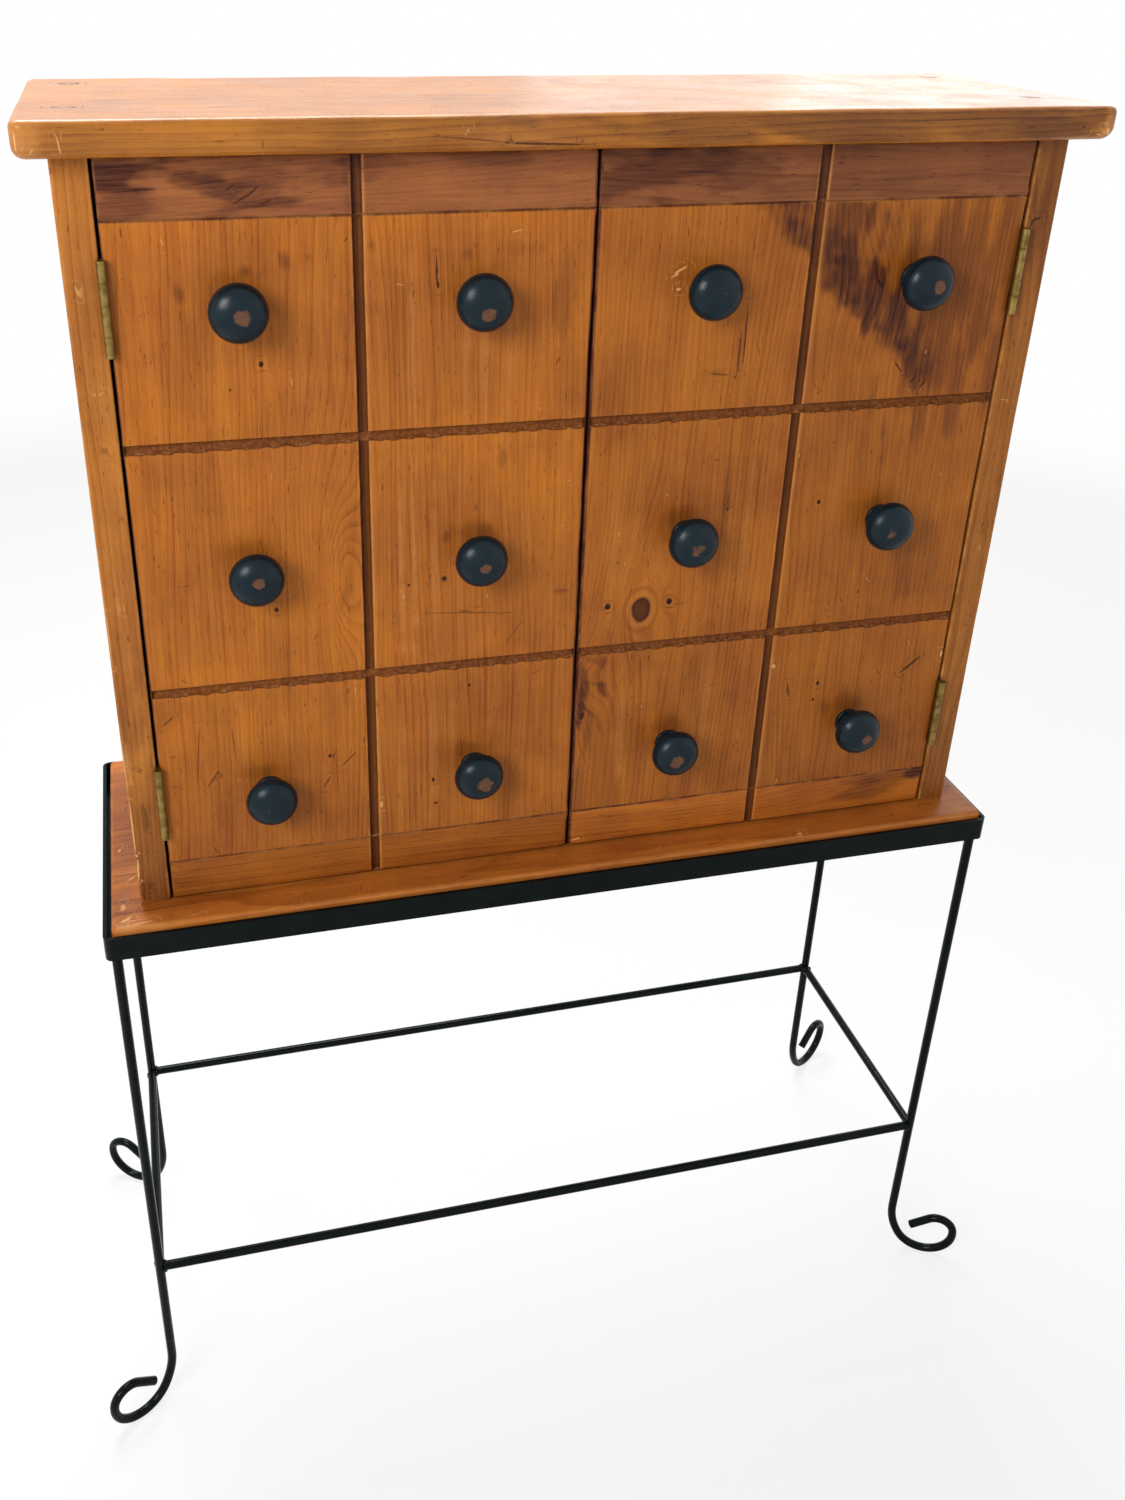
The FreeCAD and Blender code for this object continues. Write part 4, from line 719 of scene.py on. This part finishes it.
def slabShape(board, plan, top, bottom, dents, joint=None, marks=(), edgeMarks=()):
    # Plan corners first: inside the corner square, out becomes out * max|out| / |out|. Then the edge: with h the height
    # beyond the edge's centre line and s the plan distance beyond it, (s, h) becomes (s, h) * max(s, h) / |(s, h)|.
    # Last the face sinks by waves, by round dents and along the joint of two boards.
    low, high = np.array(board["low"], float), np.array(board["high"], float)

    def change(flat, points, fields):
        moved = flat.copy()
        inner = np.clip(moved[:, :2], low[:2] + plan, high[:2] - plan)
        out = moved[:, :2] - inner
        corner = (np.abs(out) > 1e-9).all(axis=1)
        out[corner] *= (np.abs(out).max(axis=1) / np.linalg.norm(out, axis=1).clip(1e-9))[corner, None]
        moved[:, :2] = inner + out
        # plan distance from the outline, and the way inwards
        gaps = np.concatenate([moved[:, :2] - low[:2], high[:2] - moved[:, :2]], axis=1)[:, [0, 2, 1, 3]]
        ways = np.array([[1, 0], [-1, 0], [0, 1], [0, -1]], float)
        nearest = gaps.argmin(axis=1)
        inset, way = gaps[np.arange(len(gaps)), nearest], ways[nearest]
        rim = np.linalg.norm(out, axis=1)
        inset = np.where(corner, plan - rim, inset)
        way = np.where(corner[:, None], -out / rim.clip(1e-9)[:, None], way)
        for radius, sense, level in ((top, 1, high[2]), (bottom, -1, low[2])):
            worn = radius * (1 + 0.12 * waves(flat, 77, 150, 3))
            s = np.clip(worn - inset, 0, None)
            h = np.clip(sense * (flat[:, 2] - level) + worn, 0, None)
            both = (s > 1e-6) & (h > 1e-6)
            share = np.maximum(s, h) / np.hypot(s, h).clip(1e-9)
            moved[:, :2] += np.where(both, s - s * share, 0)[:, None] * way
            moved[:, 2] = np.where(both, level - sense * worn + sense * h * share, moved[:, 2])
        face = flat[:, 2] >= high[2] - 0.01
        moved[:, 2] -= face * (0.22 + 0.1 * np.clip(waves(flat, 5, 60, 3), -1.4, 1.4))
        for x, y, radius, deep in dents:
            away = np.hypot(flat[:, 0] - x, flat[:, 1] - y)
            moved[:, 2] -= face * deep * ease((radius * 1.3 - away) / (radius * 0.8))
        if joint is not None:
            away = np.abs(flat[:, 1] - joint)
            moved[:, 2] -= face * 0.35 * ease((0.8 - away) / 0.8)
            fields["local"][:, 1] = 0.5 * ease((1.0 - away) / 0.8)
        fields["mark"] = nearestMark(flat, 0, 1, marks, face, 3.8) \
            + nearestMark(flat, 0, 2, edgeMarks, flat[:, 1] <= low[1] + 0.01, 3.6)
        return moved
    return change


def roundDents(seed, count, low, high):
    # Random (x, y, radius, depth) between low and high.
    return np.random.default_rng(seed).uniform(low, high, (count, 4))


def slabLines(board, steps, extra=(), upper=None):
    # Grid lines at the given steps inwards from both ends of each axis.
    lines = [[low + v for v in steps] + [high - v for v in steps] for low, high in zip(board["low"], board["high"])]
    lines[1] += extra
    if upper:
        lines[2][len(steps):] = [board["high"][2] - v for v in upper]
    return lines


plugs = {"x": (-327.25, 330.25), "y": (-56.75, 85.25), "low": 1094.0, "seat": 8.1}
plugPlaces = [(x, y) for x in plugs["x"] for y in plugs["y"]]
plugSeats = tuple((x, y, plugs["seat"], plugs["seat"], 0, 0.8) for x, y in plugPlaces)

topBoard = dict(low=(-357.0, -119.75, 1079.0), high=(360.0, 120.25, 1101.0), seed=51, axes=flatGrain, wander=3, wobble=1.6,
                staves=((beyond, -96, 950, 0.004, 0.02, -0.02),), wear=8, plane=(0, 1),
                dark=((0, -121, 420, 3, 0, 0.22), (210, -121, 220, 3, 0, 0.42), (-130, -121, 70, 3, 0, 0.22),
                      (350, -121, 50, 3, 0, 0.25), (330, -60, 30, 60, 0, 0.2)),
                pale=((-350, -119, 9, 7, 0, 0.5), (355, -119, 7, 8, 0, 0.6), (-60, -119, 26, 3, 0, 0.2)))
topEdgeMarks = ((-88, 1086.8, 20, 0.5, -5, 0.6), (-40, 1083, 27, 1.0, -3, 0.8), (60, 1086, 50, 0.4, 1.0, 0.4),
                (-300, 1090, 30, 0.35, 0, 0.3), (-355, 1090, 5.5, 1.1, 88, -0.75), (-330, 1086.5, 5.5, 0.55, 97, -0.55),
                (-346, 1083, 3, 0.6, 60, -0.5), (353, 1084, 4.0, 1.6, -62, -0.9), (347, 1081.5, 3.0, 0.8, -20, -0.7),
                (333, 1088, 1.4, 0.8, 0, 0.7), (240, 1094, 40, 0.4, 0.6, 0.45)) + smallDents(14, 14, -320, 325, 1083, 1096)
topDents = roundDents(8, 46, (-330, -112, 0.8, 0.1), (340, 110, 2.6, 0.35))
plainBoard("top_slab", 3.0, topBoard, ("top_board",), "top", "top_pine", 0.6,
           slabLines(topBoard, (1.5, 3, 4.5, 6, 8), upper=(1, 2, 3, 4, 5.5)),
           slabShape(topBoard, 8, 5, 8, topDents, None, plugSeats + smallDents(13, 60, -345, 350, -110, 112), topEdgeMarks))

baseJoint = -53.75
baseBoard = dict(low=(-361.0, -123.25, 512.0), high=(364.0, 122.25, 534.0), seed=61, axes=flatGrain, wander=3, wobble=1.6,
                 staves=((baseJoint, -100, 430, 0.004, 0.012, 0.0), (beyond, 60, 440, 0.0, 0.01, -0.06)), wear=5,
                 # the dark strip along the left end of the base's top, beside the cabinet, is painted shade
                 plane=(0, 1), dark=((-352, 10, 14, 120, 0, 0.3),),
                 pale=((-347, -120, 9, 6, 0, 0.6), (-330, -122, 16, 2, 0, 0.4), (196, -121, 3, 2, 0, 0.9),
                       (340, -121, 10, 3, 0, 0.4)))
baseMarks = ((-350, -112, 5, 1.6, 30, -0.8), (-338, -118, 8, 1.0, 5, -0.6), (-352, -96, 2, 4, 0, -0.6),
             (-345, -60, 3, 1.2, 40, -0.5), (196, -118.5, 2.6, 1.4, 0, -0.95), (-300, -117, 5, 0.7, 10, -0.5),
             (-354, -20, 2, 1, 60, -0.7), (-348, 40, 4, 0.8, 70, 0.5), (120, -116, 6, 0.6, 4, 0.5),
             (-90, -115, 4, 0.7, 12, 0.5)) + smallDents(12, 30, -356, 360, -118, -98)
baseDents = roundDents(9, 40, (-356, -118, 0.8, 0.1), (358, -97, 2.4, 0.4))
frontLine = baseBoard["low"][1] + 5
plainBoard("base_slab", 3.4, baseBoard, ("base_board_front", "base_board_rear"), "base", "base_pine", 0.5,
           slabLines(baseBoard, (1, 2, 3, 4), [frontLine] + [baseJoint + v for v in (-1.0, -0.5, 0, 0.5, 1.0)]),
           slabShape(baseBoard, 5, 4, 4, baseDents, baseJoint, baseMarks))

backBoard = dict(low=(-326.0, backLet["face"], 534.0), high=(329.0, 113.25, 1079.0), seed=71, axes=upGrain,
                 wander=4, wobble=2, staves=((-110, -200, 60, 0.03, 0.02, 0.0), (115, 0, 50, 0.0, 0.03, 0.03),
                                             (beyond, 260, 60, -0.03, 0.02, -0.02)),
                 knots=((-240, 700, 7, 11), (30, 940, 9, 13), (210, 620, 6, 9), (-60, 600, 4, 6)))
plainBoard("back_sheet", 4.5, backBoard, ("back_panel",), "unstained", "back_pine", 0.6)
for n, (name, z) in enumerate((("lower", 698.0), ("upper", 880.0))):
    shelfBoard = dict(low=(-315.5, -70.75, z), high=(318.5, 107.75, z + 16), seed=81 + n, axes=flatGrain,
                      wander=4, wobble=2, staves=((beyond, 20 - 60 * n, z - 60, 0.01, 0.01, 0.02 * n),),
                      knots=((30 - 60 * n, -120 + 200 * n, 6, 10),))
    plainBoard("shelf_board_" + name, 4.5, shelfBoard, ("shelf_" + name,), "unstained", "shelf_pine", 1.0)
print("boards made")


# Turned pieces: plugs and knobs.

def revolve(profile, centre, turns=48, axis=2, sense=1):
    # Each (radius, height) of the profile goes round a circle: (r cos a, r sin a, h); the first and last radius are 0, so
    # both ends close in a pole. Gives the points, the four-sided walls and the three-sided caps.
    radius, height = (np.array(each, float) for each in zip(*profile))
    rows = len(radius) - 2
    angle = np.arange(turns) * 2 * np.pi / turns
    ring = np.zeros((rows, turns, 3))
    ring[..., (axis + 1) % 3] = radius[1:-1, None] * np.cos(angle)
    ring[..., (axis + 2) % 3] = radius[1:-1, None] * np.sin(angle)
    ring[..., axis] = sense * height[1:-1, None]
    ends = np.zeros((2, 3))
    ends[:, axis] = sense * height[[0, -1]]
    points = np.concatenate([ring.reshape(-1, 3), ends]) + np.array(centre)
    a, b = pairs(rows - 1, turns)
    c = (b + 1) % turns
    walls = np.stack([a * turns + b, a * turns + c, (a + 1) * turns + c, (a + 1) * turns + b], axis=1)
    b = np.arange(turns)
    c = (b + 1) % turns
    pole, last = np.full(turns, rows * turns), (rows - 1) * turns
    caps = np.concatenate([np.stack([pole, c, b], axis=1), np.stack([pole + 1, last + b, last + c], axis=1)])
    return points, walls[:, ::sense], caps[:, ::sense]


def joined(parts):
    # Several surfaces with the same number of points as one: each part's faces count on from the parts before it.
    points = np.concatenate([part[0] for part in parts])
    counted = [[faces + n * len(part[0]) for faces in part[1:]] for n, part in enumerate(parts)]
    return points, [np.concatenate(kind) for kind in zip(*counted)]


# a flat cap with an eased rim: (radius, height)
plugProfile = [(0, 0), (6.9, 0), (7.0, 0.2), (7.0, 6.55), (6.85, 6.82), (6.5, 6.95), (4, 7.0), (0, 7.0)]
points, faces = joined([revolve(plugProfile, (x, y, plugs["low"])) for x, y in plugPlaces])
reach = np.min([np.hypot(points[:, 0] - x, points[:, 1] - y) for x, y in plugPlaces], axis=0)
none = np.zeros(len(reach))
plugFields = {"grain": np.stack([points[:, 0] + 300, points[:, 1], points[:, 0]], axis=1),
              "stain": np.stack([ease((reach - 5.6) / 0.9) * 0.9 + 0.08, none, none], axis=1),
              "local": np.stack([none + 4, none, none - 0.12], axis=1), "mark": np.zeros((len(reach), 3))}
makeMesh("plug_caps", points, faces, "cabinet", ("top_plugs",), "plug_pine", pines["top"], plugFields)

# worn spots by row and column: (across, up, radius, strength) from the middle of the head
knobs = {"left": (-235.3, -78.0), "right": (81.0, 238.3), "rows": (986.0, 804.25, 624.5), "face": -94.75,
         "worn": {"left": ((1.5, -0.5, 5.5, 0.8), (0, -5, 4.6, 0.85), (0.5, 2.3, 4.2, 0.9), (0, -1, 4.0, 0.85),
                           (-4, -3, 5.5, 0.3), (2, -0.7, 6.0, 0.9)),
                  "right": ((3, 1, 3.0, 0.55), (3, -0.5, 4.6, 0.85), (-1, -1, 6.0, 0.6), (-3.5, -0.5, 6.5, 0.45),
                            (-2.5, -1.5, 6.0, 0.75), (3, -1.8, 4.4, 0.85))}}
# foot and neck: (radius, distance from the door)
knobFoot = [(0, 0), (10.7, 0), (11.0, 0.3), (11.0, 2.2), (10.8, 2.7), (10.2, 3.0), (8.6, 3.15), (7.5, 3.9), (7.0, 5.2),
            (7.0, 8.2), (7.3, 9.6), (8.2, 10.7), (9.8, 11.5)]


def knobProfile():
    # The head, widest 18 mm out: radius 19 cos(a)^0.72, distance 18 + k sin(a), with k 6.6 behind that and 12 before it.
    angles = np.radians(np.linspace(-78, 90, 30))
    out = 18.0 + np.where(angles < 0, 6.6, 12.0) * np.sin(angles)
    head = list(zip(19.0 * np.cos(angles) ** 0.72, out))
    head[-1] = (0, 30.0)
    return knobFoot + [each for each in head if each[1] > 11.8]


def makeKnobMaterial():
    # Dark satin paint, rubbed down to brown wood where a thumb lands, with faint turning lines.
    material, tree, shader = newMaterial("painted knob")
    place, knob = objectPlace(tree), readField(tree, "knob")
    rubbed = slide(plus(knob[0], swing(noise(place, 170.0, 4.0, 0.65), 1.1)), 0.42, 0.62)
    cloud = noise(place, 60.0, 4.0)
    paint = blend(cloud, colour(2, 19, 27), colour(8, 34, 45))
    wood = blend(noise(place, 320.0, 3.0), colour(76, 46, 30), colour(128, 86, 58))
    lathe = work("SINE", times(knob[1], 5.5))
    height = plus(times(lathe, 0.12), plus(times(cloud, 0.5), times(rubbed, -0.3)))
    connect(shader, {"Base Color": blend(times(rubbed, 0.85), paint, wood),
                     "Roughness": plus(slide(cloud, 0.3, 0.7, (0.18, 0.32)), times(rubbed, 0.15)),
                     "Normal": bump(height, 0.0004, 0.4), "Specular IOR Level": 0.22})
    return material


knobMaterial = makeKnobMaterial()
for side in ("left", "right"):
    for n in range(6):
        x, z = knobs[side][n % 2], knobs["rows"][n // 2]
        points, *faces = revolve(knobProfile(), (x, knobs["face"], z), 72, 1, -1)
        dx, dz, size, strength = knobs["worn"][side][n]
        away = np.hypot(points[:, 0] - x - dx, points[:, 2] - z - dz) / (size * 1.25)
        worn = strength * ease(1.35 - away) * (points[:, 1] < knobs["face"] - 22)
        fromAxis = np.hypot(points[:, 0] - x, points[:, 2] - z)
        makeMesh("turned_knob_%s_%d" % (side, n + 1), points, faces, side + "_door", ("knob_%s_%d" % (side, n + 1),),
                 "knob_wood", knobMaterial, {"knob": np.stack([worn, fromAxis, fromAxis], axis=1)})
print("knobs made")


# Iron, brass, steel and the rest of the frame's own nodes.

def makeIron():
    # Black enamel over forged rod: slow unevenness, fine peel, dull dusty patches and a few rubbed brown specks.
    material, tree, shader = newMaterial("black iron")
    place = objectPlace(tree)
    slow, fine, patch = noise(place, 45.0, 3.0), noise(place, 380.0, 2.0), noise(place, 120.0, 5.0, 0.7)
    shade = blend(slide(slow, 0.3, 0.7), colour(2, 10, 12), colour(6, 17, 18))
    shade = blend(times(slide(patch, 0.68, 0.78), 0.5), shade, colour(74, 58, 44))
    connect(shader, {"Base Color": shade, "Roughness": slide(patch, 0.3, 0.75, (0.05, 0.18)),
                     "Normal": bump(plus(slow, times(fine, 0.22)), 0.0009, 0.5), "Specular IOR Level": 0.1})
    return material


def makeMetal(name, bright, dull, roughness, metallic=1.0):
    # Rolled metal gone dull: tarnish in patches, fine lengthwise scratches.
    material, tree, shader = newMaterial(name)
    place = objectPlace(tree)
    stretch = follow("Mapping", {"Vector": place, "Scale": (900.0, 900.0, 60.0)})
    patch, lines, fine = noise(place, 140.0, 5.0, 0.65), noise(stretch, 1.0, 2.0), noise(place, 600.0, 2.0)
    shade = blend(slide(patch, 0.35, 0.68), colour(*bright), colour(*dull))
    shade = blend(times(slide(lines, 0.55, 0.8), 0.35), shade, colour(*dull))
    connect(shader, {"Base Color": shade, "Roughness": slide(patch, 0.3, 0.7, (roughness, roughness + 0.22)),
                     "Normal": bump(plus(times(lines, 0.5), times(fine, 0.3)), 0.0002, 0.4), "Metallic": metallic})
    return material


iron = makeIron()
brass = makeMetal("aged brass", (150, 126, 70), (104, 84, 42), 0.36)
steel = makeMetal("zinc steel", (170, 172, 172), (112, 114, 116), 0.36)
plastic = makeMetal("brown plastic", (78, 48, 30), (58, 34, 22), 0.42, 0.0)

for name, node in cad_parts.items():
    if node.hide_render:
        continue
    if name.startswith(("rim_", "leg_", "stretcher_")):
        chosen = iron
    elif "leaf" in name or name == "hinge_pins":
        chosen = brass
    else:
        chosen = plastic if name == "magnetic_catch" else steel
    node.data.materials.clear()
    node.data.materials.append(chosen)


def weldRing(centre, axis, thick, seed, turns=40, sides=10):
    # A lumpy ring of weld metal: a small circle of radius lump carried round a larger one, with a round the ring and b round
    # the small circle: ((R + lump cos b) cos a, (R + lump cos b) sin a, lump sin b),
    # lump = thick (1 + 0.22 sin(3a + seed) + 0.14 sin(7a + 2.3 seed)).
    row, column = pairs(turns, sides)
    a, b = row * 2 * np.pi / turns, column * 2 * np.pi / sides
    lump = thick * (1 + 0.22 * np.sin(3 * a + seed) + 0.14 * np.sin(7 * a + 2.3 * seed))
    points = np.zeros((len(a), 3))
    points[:, (axis + 1) % 3] = (weld["radius"] + lump * np.cos(b)) * np.cos(a)
    points[:, (axis + 2) % 3] = (weld["radius"] + lump * np.cos(b)) * np.sin(a)
    points[:, axis] = lump * np.sin(b)
    nextRow, nextColumn = (row + 1) % turns, (column + 1) % sides
    faces = np.stack([row * sides + column, nextRow * sides + column, nextRow * sides + nextColumn,
                      row * sides + nextColumn], axis=1)
    return points + np.array(centre), faces


# legX and legY: axes of the legs; x and y: where the stretchers meet them
weld = {"legX": 359.5, "legY": 119.25, "x": 355.0, "y": 114.7, "stretcher": 164.0, "rim": 508.4, "radius": 3.7, "thick": 1.5}
welds = []
for sx in (-1, 1):
    for sy in (-1, 1):
        welds += [weldRing((sx * weld["x"], sy * weld["legY"], weld["stretcher"]), 0, weld["thick"], sx + 2 * sy),
                  weldRing((sx * weld["legX"], sy * weld["y"], weld["stretcher"]), 1, weld["thick"], sx - 3 * sy),
                  weldRing((sx * weld["legX"], sy * weld["legY"], weld["rim"]), 2, weld["thick"] * 0.9, 2 * sx - sy)]
makeMesh("weld_beads", *joined(welds), "stand", (), "iron", iron)
print("metal finished")


# Floor, lamps and surroundings, in metres.

def makeFloor(half=30):
    # Pale floor. The share of its own light is 0.78 for the camera and rises to 1 with the distance from the object.
    mesh = bpy.data.meshes.new("floor")
    mesh.from_pydata([(-half, -half, 0), (half, -half, 0), (half, half, 0), (-half, half, 0)], [], [(0, 1, 2, 3)])
    addObject("floor", mesh)
    material, tree, shader = newMaterial("pale floor")
    place = objectPlace(tree)
    connect(shader, {"Base Color": blend(noise(place, 6.0, 3.0), colour(244, 244, 244), colour(248, 248, 248)),
                     "Roughness": 0.9, "Specular IOR Level": 0.1})
    glow = put(tree, "Emission", {"Color": (1, 1, 1, 1), "Strength": 1.0}).outputs[0]
    seen = put(tree, "LightPath").outputs["Is Camera Ray"]
    share = work("MAXIMUM", slide(lengthOf(place), 0.9, 3.2), times(seen, 0.78))
    mixed = follow("MixShader", {0: share, 1: shader.outputs[0], 2: glow})
    connect(tree.nodes["Material Output"], {"Surface": mixed})
    mesh.materials.append(material)


def areaLamp(name, place, target, size, power, tint):
    data = bpy.data.lights.new(name, "AREA")
    data.shape, data.size, data.energy, data.color = "SQUARE", size, power, tint
    lamp = addObject(name, data)
    away = np.array(place, float) - np.array(target, float)
    away /= np.linalg.norm(away)
    sideways = np.cross((0, 0, 1), away)
    sideways /= np.linalg.norm(sideways)
    aim(lamp, sideways, np.cross(away, sideways), away, place)
    lamp.visible_camera = False


makeFloor()
for lamp in (("key", (-1.3, -1.3, 1.7), (-0.1, 0, 0.8), 0.8, 27, (1.0, 0.98, 0.94)),
             ("fill", (1.8, -1.6, 1.6), (0, 0, 0.7), 1.6, 2.5, (0.97, 0.98, 1.0)),
             ("above", (-0.1, 1.2, 2.7), (-0.3, 0.1, 1.0), 1.2, 52, (1.0, 0.98, 0.93)),
             ("above_left", (-0.55, 0.45, 1.85), (-0.25, 0, 1.1), 0.5, 6.5, (1.0, 0.98, 0.92)),
             ("behind", (2.9, 3.4, 1.7), (0.1, 0, 1.1), 2.2, 12, (0.94, 0.97, 1.0)),
             ("behind_wide", (3.0, 3.5, 1.7), (0.1, 0, 1.1), 4.4, 40, (0.93, 0.97, 1.0))):
    areaLamp(*lamp)

world = bpy.data.worlds.new("room")
bpy.context.scene.world = world
world.use_nodes = True
path = put(world.node_tree, "LightPath").outputs
seen = work("MAXIMUM", path["Is Camera Ray"], work("MAXIMUM", path["Is Glossy Ray"], path["Is Transmission Ray"]))
connect(world.node_tree.nodes["Background"],
        {"Color": (1, 1, 1, 1), "Strength": slide(seen, 0.0, 1.0, (0.24, 1.0), soft=False)})
bpy.context.scene.view_settings.view_transform = "Standard"
print("lights set")
